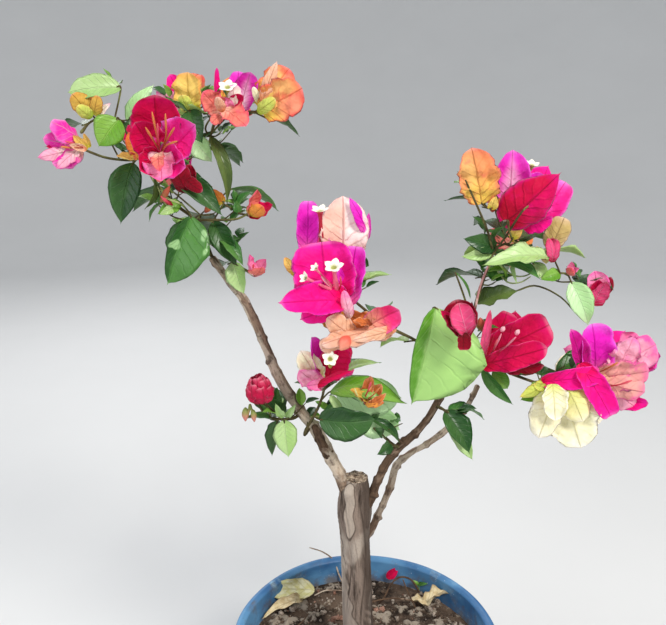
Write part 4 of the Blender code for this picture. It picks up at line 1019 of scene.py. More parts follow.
def makeTrunk():
    # a furrowed limb: radius + swellings and knots + the flare at its foot - furrows of four kinds + long
    # flakes + a bare plate below the head + a raised strip up the left of the front, painted pale as sunlit
    # below a diagonal painted shadow line; the sawn head closes it, ragged at its edge; hollow darkens the
    # furrows, paints shadow along the edges of plate and strip, and paints shade on the right side
    rows, front = trunk["rows"], trunk["front"]
    line = curveThrough(trunk["axis"], rows)
    size = readAlong(trunk["radii"], rows)
    head = np.linspace(0, 1, trunk["headRows"])
    line = np.concatenate([line, np.repeat(line[-1:], len(head), 0) + np.outer(head * 1.2, (0, 0, 1))])
    size = np.concatenate([size, size[-1] * np.cos(head * math.pi / 2 * 0.995)])
    a = anglesOf(trunk["sides"])[None]
    s = line[:, 2:3]
    turned = np.angle(np.exp(1j * (a - front)))

    furrow = {}
    for key, (turns, lean, pitch, phase, least, swing, rise, around, shift) in trunk["furrows"].items():
        strength = least + swing * np.sin(rise * s + around * a + shift)
        furrow[key] = valley(a, s, turns, lean, pitch, phase) * strength
    wide, narrow, fine, cross = (furrow[key] for key in ("wide", "narrow", "fine", "cross"))
    swell = 0.9 * np.sin(2 * a + 0.03 * s) * np.sin(0.05 * s) + 0.5 * np.sin(3 * a - 0.06 * s + 1)
    knots = sum(high * bump(a, s, front + angle, *where) for high, angle, *where in trunk["knots"])
    flake = sum(high * bump(a, s, front + angle, *where) ** 0.5 for high, angle, *where in trunk["flakes"])
    flake = np.clip((flake - 0.45 + 0.12 * np.sin(s * 0.9 + 9 * a)) * 4, 0, 1)
    flare = 2.2 * np.maximum(0, np.cos(5 * a + 0.5)) * np.clip((trunk["flareTop"] - s) / 18, 0, 1) ** 2
    plate = bump(a, 0 * s, front - 0.40 + 0.05 * np.sin(0.35 * s), 0, 0.42 + 0.04 * np.sin(0.23 * s), 1)
    plate = plate * np.exp(-((np.minimum(s - trunk["plateFoot"], 0) / 19) ** 2))
    plate = np.clip((plate * np.clip((trunk["plateTop"] - s) / 6, 0, 1) - 0.42) * 6, 0, 1)
    # painted light: the sunlit part of the front, bounded by a diagonal painted shadow line
    shadowLine = -0.75 + 0.018 * (215 - s) + 0.12 * np.sin(0.4 * s)
    sunlitStrip = np.clip((shadowLine - turned) * 8, 0, 1) * np.clip((turned + 2.4) * 2, 0, 1)
    # painted shade: the right side of the trunk is darkened as if in shadow
    shade = np.clip((turned - 0.25) * 2.5, 0, 1) * np.clip((2.1 - turned) * 2, 0, 1)
    # painted shadow along the rims of the raised plate and of the sunlit strip
    edgeShadow = np.maximum(4 * plate * (1 - plate), 4 * sunlitStrip * (1 - sunlitStrip))

    depth = 1.3 * wide + 0.75 * narrow + 0.35 * fine + 0.35 * cross
    relief = swell * 0.5 + knots + flare - trunk["furrowDepth"] * depth + plate + 0.45 * sunlitStrip
    relief = relief + trunk["skin"] * flake * (1 - wide)
    relief = relief + 0.16 * np.sin(23 * a + 4 * np.sin(s * 0.21)) * np.sin(s * 0.8)
    relief = relief * np.concatenate([np.ones(rows), 1 - head])[:, None]
    lump = 0.9 * np.sin(3 * a + 1) + 0.7 * np.sin(5 * a + 2.2)
    relief[rows:] += 0.35 * lump * np.sin(head * math.pi)[:, None]
    hollow = (wide + 0.7 * narrow + 0.35 * fine - flake * 0.8) * (1 - 0.85 * plate) * (1 - 0.5 * sunlitStrip)
    hollow = np.clip(hollow + edgeShadow + 0.95 * shade, 0, 1)
    ragged = 1.5 * np.sin(2 * a + 0.6) + 0.8 * np.sin(5 * a + 1) + 0.5 * np.sin(9 * a)
    ragged = ragged - 1.3 * wide[-1:] - 1.0 * narrow[-1:]
    lift = np.zeros_like(relief)
    rising = np.sin(np.clip(head[:, None] * 1.6, 0, 1) * math.pi / 2)
    lift[rows:] = ragged * rising * (1 - head[:, None] * 0.75)
    lift[rows - 12:rows] = lift[rows:rows + 1] * np.linspace(0, 1, 12)[:, None]
    line[rows:, 2] += 0.5 * np.sin(head * 9)
    sawn = (np.arange(len(line))[:, None] >= rows + 3) + np.zeros_like(a, int)
    made = limbMesh("trunk_bark", ["trunk bark", "cut wood"], line, size, relief, lift, hollow,
                    np.maximum(plate, 0.75 * sunlitStrip), sawn)
    put(made, "trunk_bark", "trunk")


# The boughs in mm; the snag is the short dead stub on the left one
boughs = {
    "bough_left": {
        "route": [(-9, 0, 258), (-12, -1, 268), (-19, -2, 291), (-28, -2, 310), (-35, -1, 324), (-45, 1, 337),
                  (-53, 3, 349), (-61, 5, 362), (-68, 7, 379), (-76, 9, 399), (-84, 11, 415), (-92, 12, 425),
                  (-98, 13, 434), (-104, 14, 442)],
        "radii": (5.0, 2.4), "look": "pale bark", "slot": "pale_bark", "node": "bough_left", "knots": 15,
        "seed": 3, "shade": 0},
    "snag": {
        "route": [(-26, -2, 306), (-29, -3, 311), (-32, -4, 318), (-35, -5.5, 326), (-37, -6, 331.5)],
        "radii": (3.6, 2.3), "look": "dark bark", "slot": "pale_bark", "node": "bough_left", "knots": 3,
        "seed": 8, "shade": 0},
    "bough_right": {
        "route": [(-8, 0, 250), (-4, 0, 262), (2, -1, 274), (6, -2, 286), (11, -3, 299), (18, -5, 312),
                  (27, -8, 323), (35, -10, 333), (43, -12, 348), (49, -12, 363), (56, -11, 377),
                  (61, -10, 389)],
        "radii": (3.7, 1.9), "look": "dark bark", "slot": "dark_bark", "node": "bough_right", "knots": 13,
        "seed": 5, "shade": 0},
    "bough_back": {
        "route": [(-8, 1, 222), (-5, 3, 232), (4, 9, 244), (10, 13, 256), (16, 15, 270), (21, 16, 289),
                  (29, 18, 297), (40, 20, 303), (49, 22, 308), (59, 25, 316), (70, 28, 328), (75, 29, 336),
                  (79, 30, 346)],
        "radii": (2.8, 1.9), "look": "pale bark", "slot": "dark_bark", "node": "bough_back", "knots": 12,
        "seed": 7, "shade": 0.75},
}
# Rows for each point of a route, sides, and the heights of rings and warts, drawn for more than there are
boughRings = {"rowsEach": 26, "sides": 40, "ringHeights": (0.25, 0.8), "wartHeights": (0.7, 1.9), "draws": 99}


def makeBough(name, plan):
    # a tapering limb: swollen rings, warts on alternate sides and a wave, less shallow furrows, rounded off
    # at both ends; hollow darkens the furrows and rings, and the lower half by the plan's shade
    dice = np.random.default_rng(plan["seed"])
    rows, sides = boughRings["rowsEach"] * len(plan["route"]), boughRings["sides"]
    line = curveThrough(plan["route"], rows)
    run = runOf(np.linalg.norm(np.diff(line, axis=0), axis=1))[:, None]
    share = run / run[-1]
    thick, slim = plan["radii"]
    size = thick + (slim - thick) * share[:, 0] ** 0.85
    a = anglesOf(sides)[None]
    places = (np.arange(plan["knots"]) + dice.uniform(0.2, 0.8, plan["knots"])) / plan["knots"] * run[-1]
    heights = dice.uniform(*boughRings["ringHeights"], boughRings["draws"])
    rings = sum(np.exp(-((run - place) / 1.7) ** 2) * high for place, high in zip(places, heights))
    heights = dice.uniform(*boughRings["wartHeights"], boughRings["draws"])
    warts = sum(bump(a, run, 2.4 * k + 1, place, 0.55, 1.6) * heights[k] for k, place in enumerate(places))
    wide = valley(a, run, 5, 1.1, 0.11, plan["seed"]) * (0.5 + 0.5 * np.sin(0.2 * run + 2 * a))
    fine = valley(a, run, 11, 1.6, 0.23, plan["seed"] + 2) * (0.5 + 0.5 * np.sin(0.4 * run - 3 * a))
    wave = 0.35 * np.sin(2 * a + 0.12 * run) + 0.25 * np.sin(0.33 * run + 3 * a)
    taper = size[:, None] / thick
    relief = (wave + rings + warts) * taper * 0.9 - 0.42 * taper * (1.2 * wide + 0.6 * fine)
    ends = np.clip(np.minimum(run, run[-1] - run) / (0.5 * size[:, None]), 0, 1)
    relief = relief * ends - size[:, None] * (1 - np.sqrt(1 - (1 - ends) ** 2 * 0.7))
    shade = plan["shade"] * np.clip(1.2 - share / 0.5, 0, 1)
    hollow = np.clip(wide + 0.5 * fine + 0.5 * (rings > 0.25) * np.sin(a * 3) ** 2 + shade, 0, 1)
    flat = np.zeros_like(relief)
    put(limbMesh(name + "_bark", [plan["look"]], line, size, relief, flat, hollow, flat, flat.astype(int)),
        plan["slot"], plan["node"])


makeTrunk()
for name, plan in boughs.items():
    makeBough(name, plan)
print("trunk and boughs made")


# Ways in which the upper face of a blade looks
front = (0, -1, 0.1)
level = (0, -1, 0.15)
up = (0, -0.6, 0.8)
down = (0, -0.9, -0.4)
faceUp = (0, -0.3, 1)
faceLeft = (-1, -0.5, 0)
faceRight = (1, -0.5, 0)
leanLeft = (-0.5, -1, 0.1)
leanRight = (0.5, -1, 0.1)
tilted = (0, -0.85, 0.5)

# The sprays, in mm. Each has one stem, a seed and a space to keep within; twigs run to all that is named.
#   blades: look, foot, tip, width, words for the shape, the way the upper face looks (else front)
#   more: blades without a stalk
#   blooms: foot, then either the way the mouth faces, bract length, opening and turn in degrees and three
#     looks, or axis, length and count of a whorl of bracts, or a list of parts placed from the foot: petals
#     as blades, true flowers by look, foot, tip and mouth, and tubes by look, foot and tip
#   shoots: look, radius, route; knobs: look, foot, tip, width; extra: number of seeded leaves
#   sprigs: number of seeded fine twigs for each grown point
crownLeft = {
    "name": "crown_left", "seed": 11, "extra": 9, "space": ((-205, -60, 405), (-42, 110, 575)),
    "stem": [
        (-100, 13, 437), (-104, 14, 443), (-107, 12, 454), (-113, 7, 468), (-123, 2, 478), (-132, -2, 490),
        (-137, -4, 501), (-142, -6, 509),
    ],
    "blooms": [
        ((-171, -15, 522), [
            ("striped", (-1, 2, -7), (-13, -9, 6), 19, "round shell", up),
            ("striped", (-1, 1, -8), (-20, -7, -4), 14, "round shell"),
            ("crimson", (-1, -2, -8), (-19, -7, -8), 6, "cup"),
            ("striped", (-1, 0, -9), (-15, -9, -18), 16, "round shell frill"),
            ("blush", (-8, -4, -11), (-22, -12, -14), 9, "shell frill"),
            ("blush", (-2, -2, -10), (-13, -10, -20), 9, "shell frill"),
            ("yellow", (3, -2, -10), (-3, -6, -2), 6, "cup"),
            ("peach", (3, -3, -10), (-4, -10, -7), 5, "cup"), ("yellow", (4, 0, -9), (2, -3, -1), 4, "cup"),
            ("tube orange", (2, -3, -9), (-9, -11, -8)), ("tube red", (2, -3, -9), (-6, -11, -5)),
        ]),
        ((-166, 2, 530), [
            ("mustard", (-2, -4, 1), (-10, -12, 13), 14, "round shell"),
            ("mustard", (0, -7, 1), (4, -11, 12), 9, "round shell"),
            ("lime", (-1, -8, 0), (-7, -15, 6), 9, "round shell"),
            ("orange", (-5, 0, 3), (-6, 0, 14), 12, "round"),
        ]),
        ((-120, -35, 516), [
            ("crimson", (-3, 4, -5), (-1, -5, 25), 31, "blunt cup"),
            ("crimson", (-3, 2, -6), (-11, -10, 11), 22, "round cup", leanRight),
            ("rosy", (-1, 2, -6), (20, -10, 10), 27, "round cup", leanLeft),
            ("rosy", (-1, 1, -6), (14, -11, -12), 23, "round cup", leanLeft),
            ("pink", (-1, -1, -5), (1, -11, -19), 20, "round cup frill"),
            ("crimson", (-2, 0, -5), (-10, -10, -14), 17, "round cup", leanRight),
            ("coral", (-1, -5, -5), (1, -13, -14), 9, "frill"), ("tube orange", (-1, -1, -4), (-1, -13, 17)),
            ("tube orange", (0, -1, -4), (7, -17, 16)), ("tube orange", (0, -1, -4), (12, -20, 9)),
            ("tube orange", (0, -1, -5), (13, -20, 2)), ("tube red", (-1, -1, -4), (3, -19, 11)),
            ("tube orange", (-1, -1, -4), (-4, -17, 9)),
        ]),
        ((-137, -16, 508), (-0.5, -0.6, 0.6), 15, 35, 30, "orange yellow orange"),
        ((-109, 8, 533), [
            ("yellow", (-1, -6, 0), (-1, -12, 22), 18, "blunt crumpled"),
            ("sunset", (1, -2, 1), (7, -4, 21), 13, "blunt shell", faceRight),
            ("lime", (-1, -8, 0), (-4, -16, 9), 10, "round shell"),
            ("blush", (-6, 0, 4), (-22, -2, 12), 11, "round shell"),
            ("magenta", (-7, 4, 6), (-14, 2, 22), 12, "round"),
            ("orange", (-2, 6, 1), (-1, 8, 23), 16, "blunt"),
        ]),
        ((-92, -4, 533), [
            ("coral", (2, -2, 0), (-7, -10, 11), 14, "round crumpled"),
            ("coral", (3, -2, 2), (17, -12, -7), 16, "round crumpled", up),
            ("crimson", (4, 1, 1), (15, -6, 9), 10, "round cup"),
            ("peach", (3, -6, 0), (1, -12, 8), 7, "round shell"),
            ("magenta", (0, 4, 2), (0, 2, 25), 6, "round cup", faceRight),
            ("coral", (2, -5, -1), (-3, -10, -6), 8, "round shell"),
        ]),
        ((-85, 10, 533), [
            ("flame", (4, -6, 1), (12, -12, 22), 16, "blunt cup"),
            ("violet", (2, 2, 3), (3, 4, 24), 13, "blunt"),
            ("ivory", (4, -12, 0), (2, -18, 15), 11, "blunt shell"),
            ("pink", (0, -12, 0), (-2, -18, 8), 7, "round frill"),
            ("tube green", (-1, -8, 2), (-1, -18, 15), 5),
        ]),
        ((-71, 0, 533), [
            ("sunset", (4, -4, 1), (28, -12, 13), 24, "blunt crumpled"),
            ("sunset", (3, 3, 2), (20, 4, 25), 20, "blunt crumpled"),
            ("peach", (5, -8, 5), (14, -8, 28), 9, "shell"),
            ("lime", (2, -8, 0), (13, -16, 7), 9, "round shell"),
            ("sunset", (4, -4, 0), (25, -9, 3), 14, "round shell", down),
            ("cream", (3, -2, 5), (0, -7, 14), 5, "round shell"),
        ]),
        ((-76, 0, 471), (0.65, -0.3, 0.7), 17, 26, 0, "coral orange crimson"),
        ((-114, -14, 503), [
            ("darkRed", (2, 2, -17), (-3, -6, 1), 15, "blunt shell"),
            ("darkRed", (0, 0, -7), (12, -5, -15), 9, "round shell"),
            ("darkRed", (2, 6, -15), (4, 4, 0), 12, "round"),
        ]),
        ((-75, 0, 433), (0.35, -0.3, 0.9), 14, 30, 30, "pink coral pink"),
        ((-143, 46, 521), (-0.5, 0.75, 0.1), 26, 48, 10, "magenta violet crimson"),
        ((-139, 66, 509), (0.1, 0.95, 0.1), 26, 55, 40, "crimson magenta crimson"),
        ((-97, 44, 538), (0.25, 0.9, 0.1), 23, 45, 0, "orange coral peach"),
        ((-124, 60, 447), (-0.1, 1, -0.1), 17, 55, 60, "violet magenta magenta"),
        ((-136, 60, 494), (-0.2, 0.95, 0.1), 22, 50, 0, "peach pink coral"),
    ],
    "blades": [
        ("leafPale", (-152, 5, 547), (-180, -3, 545), 16, "broad", tilted),
        ("leafBright", (-150, -10, 529), (-162, -14, 514), 20, "", level),
        ("leafMint", (-151, 12, 526), (-135, 14, 549), 12),
        ("leafDark", (-143, -13, 504), (-151, -21, 470), 20, "", level),
        ("leaf", (-111, -2, 533), (-127, -12, 541), 10, "", faceUp),
        ("leafDark", (-110, -2, 534), (-102, -12, 516), 15, "", level),
        ("leafMint", (-111, 3, 519), (-99, 2, 504), 14),
        ("leafOlive", (-99, 3, 519), (-89, -3, 480), 9, "bow", leanRight),
        ("leafDark", (-120, -4, 497), (-92, -12, 474), 16, "", (0.4, -0.9, 0.5)),
        ("leafBright", (-117, -8, 480), (-130, -14, 474), 9, "", level),
        ("leaf", (-128, -8, 480), (-136, -14, 470), 8, "", faceLeft),
        ("leaf", (-83, 2, 472), (-85, 3, 480), 6, "", level),
        ("leafShade", (-111, -10, 472), (-127, -16, 432), 27, "lopsided"),
        ("leafDark", (-116, 0, 468), (-126, -4, 441), 15, "", (-0.6, -0.8, 0)),
        ("leafDark", (-101, 8, 466), (-86, 0, 440), 15, "", (0.3, -1, 0)),
        ("leaf", (-96, 4, 456), (-81, -4, 441), 10, "", (0.5, -0.6, 0.5)),
        ("leafPale", (-89, 6, 440), (-82, 0, 421), 14),
        ("orange", (-93, 4, 478), (-99, 2, 487), 8, "", level),
        ("leaf", (-125, 40, 505), (-158, 62, 500), 20, "", (0, 0.5, 0.9)),
        ("leafDark", (-108, 44, 510), (-92, 80, 498), 19, "", (0, 0.2, 1)),
        ("leaf", (-92, 30, 484), (-62, 44, 470), 18, "", (0.2, 0.4, 0.9)),
        ("leafDark", (-112, 26, 468), (-118, 56, 448), 20, "", (0, 0.8, 0.5)),
        ("leafPale", (-122, 38, 520), (-132, 70, 540), 15, "", (0, 0.3, 1)),
        ("leafDark", (-132, 30, 484), (-160, 40, 470), 17, "", (-0.3, 0.4, 1)),
    ],
    "more": [
        ("ivory", (-166, -2, 530), (-156, -6, 538), 5),
        ("leafOlive", (-132, -10, 495), (-137, -14, 477), 6, "bow", faceRight),
        ("leafPale", (-120, -10, 478), (-128, -17, 474), 6, "frill"),
    ],
    "shoots": [
        ("twig", 0.75, [(-171, -15, 512), (-160, -10, 507), (-148, -4, 505), (-141, -5, 506)]),
        ("twig", 0.6, [(-168, -2, 531), (-162, -4, 524), (-157, -6, 515), (-153, -6, 506)]),
        ("green stem", 0.7, [(-135, -6, 496), (-129, -12, 488), (-125, -14, 480), (-120, -8, 474)]),
        ("green stem", 0.6, [(-141, -6, 505), (-132, -14, 499), (-125, -15, 494), (-121, -12, 486)]),
        ("green stem", 0.6, [(-128, -12, 490), (-124, -16, 484), (-116, -14, 480), (-113, -6, 474)]),
        ("twig", 0.6, [(-99, 4, 518), (-102, 4, 524), (-96, 4, 533)]),
        ("twig", 0.6, [(-98, 4, 521), (-91, 2, 528), (-85, 4, 533)]),
        ("twig", 0.6, [(-79, 6, 530), (-74, 2, 533), (-70, 0, 533)]),
        ("twig", 0.8, [(-113, 0, 467), (-105, 2, 468), (-94, 2, 468), (-84, 0, 469), (-76, 0, 473)]),
    ],
    "knobs": [
        ("rust bud", (-128, -14, 481), (-121, -17, 491), 4),
        ("tube red", (-121, -13, 479), (-127, -17, 485), 3), ("rust bud", (-108, 4, 483), (-99, 0, 489), 6),
        ("tube orange", (-104, 0, 473), (-99, -4, 479), 4),
    ],
}
spurLeft = {
    "name": "spur_left", "seed": 23, "extra": 2, "sprigs": 0.2, "space": ((-100, -40, 296), (-30, 60, 385)),
    "stem": [(-45, 1, 337), (-52, -1, 334), (-60, -2, 334), (-66, -4, 336)],
    "blooms": [
        ((-71, -10, 350), (-0.1, -0.25, 0.95), 21, 13),
    ],
    "blades": [
        ("leafPale", (-57, -8, 336), (-54, -17, 314), 17, "dome"),
        ("leafBright", (-61, -4, 337), (-70, -14, 345), 8, "", faceUp),
        ("leafDark", (-57, 0, 338), (-68, -6, 351), 10, "", level),
        ("leaf", (-66, -4, 336), (-82, -10, 339), 7, "", faceUp),
        ("leafDark", (-62, 0, 332), (-67, 4, 305), 12, "", (-0.3, 0.6, 0)),
        ("leafDark", (-60, 3, 336), (-78, 32, 346), 17, "", (0, 0.3, 1)),
        ("leaf", (-56, 3, 334), (-58, 36, 322), 16, "", (0, 0.5, 1)),
    ],
    "more": [
        ("leafPale", (-57, -8, 338), (-62, -12, 349), 6, "frill"),
        ("leafPale", (-56, -6, 337), (-49, -10, 348), 5, "frill"),
    ],
    "shoots": [
        ("twig", 0.7, [(-71, -8, 342), (-73, -9, 347), (-75, -10, 351)]),
        ("twig", 0.7, [(-58, -5, 335), (-66, -8, 345), (-70, -10, 351)]),
        ("bud", 0.9, [(-79, -9, 348), (-80, -11, 343), (-82, -11, 339)]),
        ("bud", 0.8, [(-79, -9, 348), (-77, -12, 342), (-76, -12, 337)]),
    ],
    "knobs": [("bud", (-82, -10, 346), (-82, -12, 337), 5), ("bud", (-77, -11, 345), (-76, -13, 337), 4)],
}
sprayMiddle = {
    "name": "spray_middle", "seed": 37, "extra": 3, "space": ((-52, -50, 322), (34, 60, 402)),
    "stem": [
        (-39, 0, 329), (-43, -9, 326), (-42, -11, 331), (-37, -11, 340), (-32, -12, 352), (-29, -16, 366),
    ],
    "blooms": [
        ((-29, -17, 368), [
            ("crimson", (2, -1, 2), (9, -11, 27), 22, "blunt cup"),
            ("violet", (0, -1, 2), (-7, -12, 32), 16, "round cup", faceRight),
            ("cream", (-4, -1, 0), (-15, -9, 22), 16, "round crumpled"),
            ("blush", (-4, -3, -2), (-16, -11, 10), 14, "round crumpled"),
            ("crimson", (-7, -8, -2), (16, -16, 13), 7, "shell", up),
            ("pink", (-1, -3, 0), (-11, -15, 2), 9, "round"), ("tube green", (3, -9, 12), (3, -29, 25), 4.4),
        ]),
        ((1, -22, 352), [
            ("rust", (-4, -4, 3), (4, -11, 19), 10, "round cup frill"),
            ("rust", (-6, -4, 5), (-2, -11, 24), 9, "round cup frill"),
            ("mustard", (-3, -6, 6), (-14, -11, 16), 7, "round frill", up),
            ("orange", (-5, -7, 4), (6, -13, 8), 6, "shell frill"),
            ("rust", (-3, -8, 4), (7, -14, 14), 6, "crumpled"), ("tube red", (-6, -7, 7), (-2, -16, 23)),
            ("tube orange", (-6, -7, 6), (3, -16, 19)), ("tube green", (-7, -7, 6), (-12, -14, 18)),
        ]),
        ((-22, 34, 358), (0, 0.98, 0.1), 24, 50, 20, "crimson magenta crimson"),
    ],
    "blades": [
        ("cream", (-31, -14, 366), (-46, -20, 383), 14, "", (0.5, -1, 0.3)),
        ("leafBright", (-26, -12, 358), (21, -22, 355), 18, "hood", up),
        ("leafDark", (-33, -20, 342), (1, -26, 344), 24, "broad"),
        ("leafMint", (-16, -6, 350), (18, -14, 332), 26, "broad"),
        ("leafDark", (-30, 6, 352), (-22, 44, 344), 20, "", (0, 0.3, 1)),
        ("leaf", (-28, 4, 360), (8, 26, 366), 17, "", (0, 0.4, 1)),
    ],
    "more": [
        ("leafMint", (-22, -10, 356), (18, -16, 355), 28, "broad dome"),
        ("leafDark", (0, -16, 341), (20, -14, 323), 7, "bow", up),
        ("leafPale", (-26, -16, 357), (-17, -20, 347), 6, "frill"),
    ],
    "shoots": [("dark bark", 0.9, [(-3, -12, 339), (5, -12, 335), (15, -10, 327), (23, -8, 319)])],
}
bloomCentre = {
    "name": "bloom_centre", "seed": 41, "extra": 2, "sprigs": 0.2, "space": ((-72, -75, 370), (56, 75, 505)),
    "stem": [
        (53, -12, 372), (50, -20, 377), (40, -22, 387), (27, -24, 397), (11, -27, 406), (-4, -24, 416),
        (-16, -22, 428), (-20, -18, 444),
    ],
    "blooms": [
        ((-17, -28, 429), [
            ("magenta", (-9, -2, -6), (-14, 1, 30), 41, "square"),
            ("magenta", (2, -5, -4), (-36, -24, 0), 22, "broad frill", tilted),
            ("violet", (3, -6, -6), (6, -2, 28), 19, "square", leanLeft),
            ("magenta", (0, -7, -3), (-25, -18, -12), 17, "broad shell"),
            ("pink bud", (-5, -7, 2), (-7, -18, 20), 5.2), ("pink bud", (-6, -7, 3), (-18, -18, 19), 2.6),
            ("pink bud", (-6, -7, 2), (-24, -22, 14), 3), ("pink bud", (-6, -7, 2), (-14, -16, 13)),
            ("tube red", (-4, -7, 2), (-3, -16, 13)),
        ]),
        ((7, -30, 409), [
            ("blush", (-21, -7, 6), (-25, -14, 24), 8, "round shell"),
            ("mustard", (-28, -3, -1), (-40, -8, 11), 11, "round frill"),
            ("peach", (-19, -7, -5), (-34, -14, 8), 16, "round shell frill"),
            ("rust", (-5, -3, -3), (-24, -8, 9), 16, "round cup frill"),
            ("peach", (5, -1, -4), (-37, -17, -6), 15, "round shell frill", up),
            ("peach", (-21, -10, -2), (-38, -15, -11), 13, "blunt shell frill"),
            ("sunrise", (-12, -6, 0), (7, -13, 12), 20, "blunt cup"),
            ("peach", (7, -5, -1), (-20, -16, -5), 9, "shell frill"),
            ("rust", (-8, -8, 3), (-19, -14, 7), 7, "cup frill", up),
        ]),
        ((-30, 32, 440), (-0.1, 0.98, 0.05), 30, 55, 0, "magenta crimson magenta"),
        ((-26, 30, 452), (0.1, 0.98, 0), 20, 48, 30, "coral peach pink"),
        ((-29, -16, 446), [
            ("blush", (1, -2, 5), (-2, -6, 18), 8, "round crumpled"),
            ("tube red", (-2, -5, 10), (-3, -12, 33), 4.8),
        ]),
    ],
    "blades": [
        ("veined", (-18, -18, 446), (-18, -14, 484), 32, "round"),
        ("violet", (-40, -17, 450), (-39, -18, 482), 15, "square"),
        ("violet", (-3, -19, 461), (-14, -18, 484), 9, "shell", leanRight),
        ("yellow", (-46, -15, 436), (-54, -14, 447), 7, "round"),
        ("orange", (-12, -26, 412), (-34, -30, 414), 12, "", level),
        ("leafDark", (-10, -10, 446), (-2, -10, 441), 8, "", (0.5, -1, 0)),
        ("leafDark", (-14, -14, 436), (-40, 22, 440), 18, "", (0, 0.2, 1)),
        ("leaf", (2, -18, 412), (12, 22, 404), 18, "", (0, 0.2, 1)),
    ],
    "more": [("flame", (-4, -20, 459), (-3, -19, 475), 5)],
    "knobs": [("coral bud", (-15, -44, 406), (-20, -49, 399), 8)],
}
leafLow = {
    "name": "leaf_low", "seed": 53, "extra": 0, "space": ((40, -50, 300), (90, 20, 362)),
    "stem": [(43, -12, 348), (46, -19, 349), (50, -21, 347)],
    "blades": [
        ("leafDark", (48, -20, 348), (63, -32, 325), 18, "", (0.4, -1, 0.3)),
        ("leafPale", (50, -19, 345), (67, -22, 314), 12, "", (0.3, -1, 0)),
        ("leaf", (50, -19, 348), (76, -8, 338), 13, "", (0.2, 0.1, 1)),
    ],
}
twigInner = {
    "name": "twig_inner", "seed": 59, "extra": 0, "space": ((-12, -50, 305), (24, 20, 348)),
    "stem": [(20, -6, 315), (16, -12, 320), (8, -16, 329), (2, -18, 335)],
    "blades": [
        ("leafDark", (8, -18, 330), (3, -25, 338), 7, "", (0.3, -0.8, 0.6)),
        ("leafDark", (14, -13, 322), (5, -22, 318), 9, "", level),
    ],
}
sprayFar = {
    "name": "spray_far", "seed": 67, "extra": 3, "sprigs": 0.3, "space": ((62, -70, 322), (204, 90, 426)),
    "stem": [
        (59, -11, 382), (65, -16, 380), (72, -18, 378), (83, -17, 375), (95, -16, 370), (107, -16, 366),
        (123, -13, 368), (138, -10, 374),
    ],
    "blooms": [
        ((71, -20, 379), [
            ("crimson", (2, 3, 8), (38, -4, 28), 28, "square"),
            ("crimson", (2, 2, 6), (14, 3, 34), 21, "square"),
            ("crimson", (-3, -6, 3), (32, -20, 18), 17, "blunt frill"),
            ("claret", (-5, -10, 5), (-1, -13, 39), 6, "round"),
            ("darkRed", (8, 6, 1), (38, 0, -1), 13, "round", down), ("tube red", (-1, -6, 4), (3, -18, 23)),
            ("crimson tube", (1, -10, 10), (5, -19, 27)), ("crimson tube", (2, -11, 10), (13, -22, 26)),
        ]),
        ((147, -12, 376), [
            ("violet", (-2, -1, -7), (-8, -5, 29), 25, "square"),
            # this petal is in painted shade, a darker magenta
            ("plum", (-13, -6, -4), (-23, -11, 27), 15, "round", leanRight),
            ("magenta", (-41, -15, -5), (-7, -21, 2), 15, "square"),
            ("magenta", (-19, -18, 8), (1, -26, -24), 17, "square"),
            ("blush", (4, 1, -1), (33, -4, 15), 27, "blunt crumpled"),
            ("blush", (8, -3, -3), (17, -8, 21), 19, "round crumpled"),
            ("pink", (9, 6, 0), (25, 6, 19), 21, "blunt frill"),
            ("rosy", (23, 2, -11), (34, -4, 11), 14, "blunt frill cup"),
            ("dusk", (-6, -8, -4), (26, -14, 1), 20, "blunt crumpled"),
            ("dusk", (-4, -10, -6), (24, -16, -12), 20, "blunt shell frill"),
            ("blush", (6, 0, -14), (27, -4, -28), 19, "round shell frill"),
            ("magenta", (11, 0, -25), (31, -8, -23), 12, "round cup frill"),
            ("tube red", (-1, -14, -9), (13, -21, -2)), ("tube orange", (-4, -12, 0), (4, -19, 9)),
        ]),
        ((110, -22, 368), [
            ("cream", (9, -2, -1), (22, -14, -38), 33, "round crumpled"),
            ("cream", (3, -8, -2), (-7, -20, -28), 23, "round shell"),
            ("cream", (18, 4, -4), (37, -2, -27), 22, "round crumpled"),
            ("creamLime", (10, -9, 3), (19, -20, -17), 23, "round shell"),
            ("cream", (1, -12, 4), (1, -23, -15), 17, "round frill"),
            ("dusk", (4, -3, 2), (25, -8, -4), 11, "round frill"),
            ("lime", (1, -4, 2), (-17, -9, -6), 10, "shell"),
            ("lime", (-1, -6, -1), (-9, -8, 2), 6, "broad"),
        ]),
        ((106, 36, 370), (0.05, 0.98, 0.1), 28, 50, 0, "crimson magenta crimson"),
        ((166, 34, 360), (0.25, 0.95, 0.05), 31, 52, 40, "magenta violet pink"),
        ((146, 36, 346), (0.05, 0.98, -0.05), 22, 45, 0, "cream peach cream"),
    ],
    "blades": [
        ("magenta", (113, -25, 371), (136, -30, 376), 11, "square"),
        ("leafBright", (109, -20, 366), (95, -26, 358), 13, "", level),
        ("leaf", (71, -16, 376), (90, -22, 353), 9, "", (-0.7, -0.8, 0)),
        ("leafBright", (79, -12, 373), (90, -10, 359), 11, "", level),
        ("leafDark", (92, -10, 371), (110, 30, 360), 19, "", (0, 0.1, 1)),
        ("leaf", (126, 6, 365), (158, 20, 374), 14, "", up),
        ("leafDark", (84, -8, 374), (74, 28, 366), 17, "", (0, 0.2, 1)),
        ("leaf", (132, 8, 368), (162, 34, 352), 18, "", (0.2, 0.3, 1)),
    ],
    "shoots": [
        ("twig", 0.7, [(106, -18, 364), (111, -22, 370), (116, -24, 373)]),
        ("twig", 0.8, [(119, -16, 369), (131, -14, 373), (141, -13, 375)]),
    ],
    "knobs": [
        ("pink bud", (76, -38, 407), (77, -41, 411), 3), ("pink bud", (84, -41, 406), (85, -44, 410), 3),
    ],
}
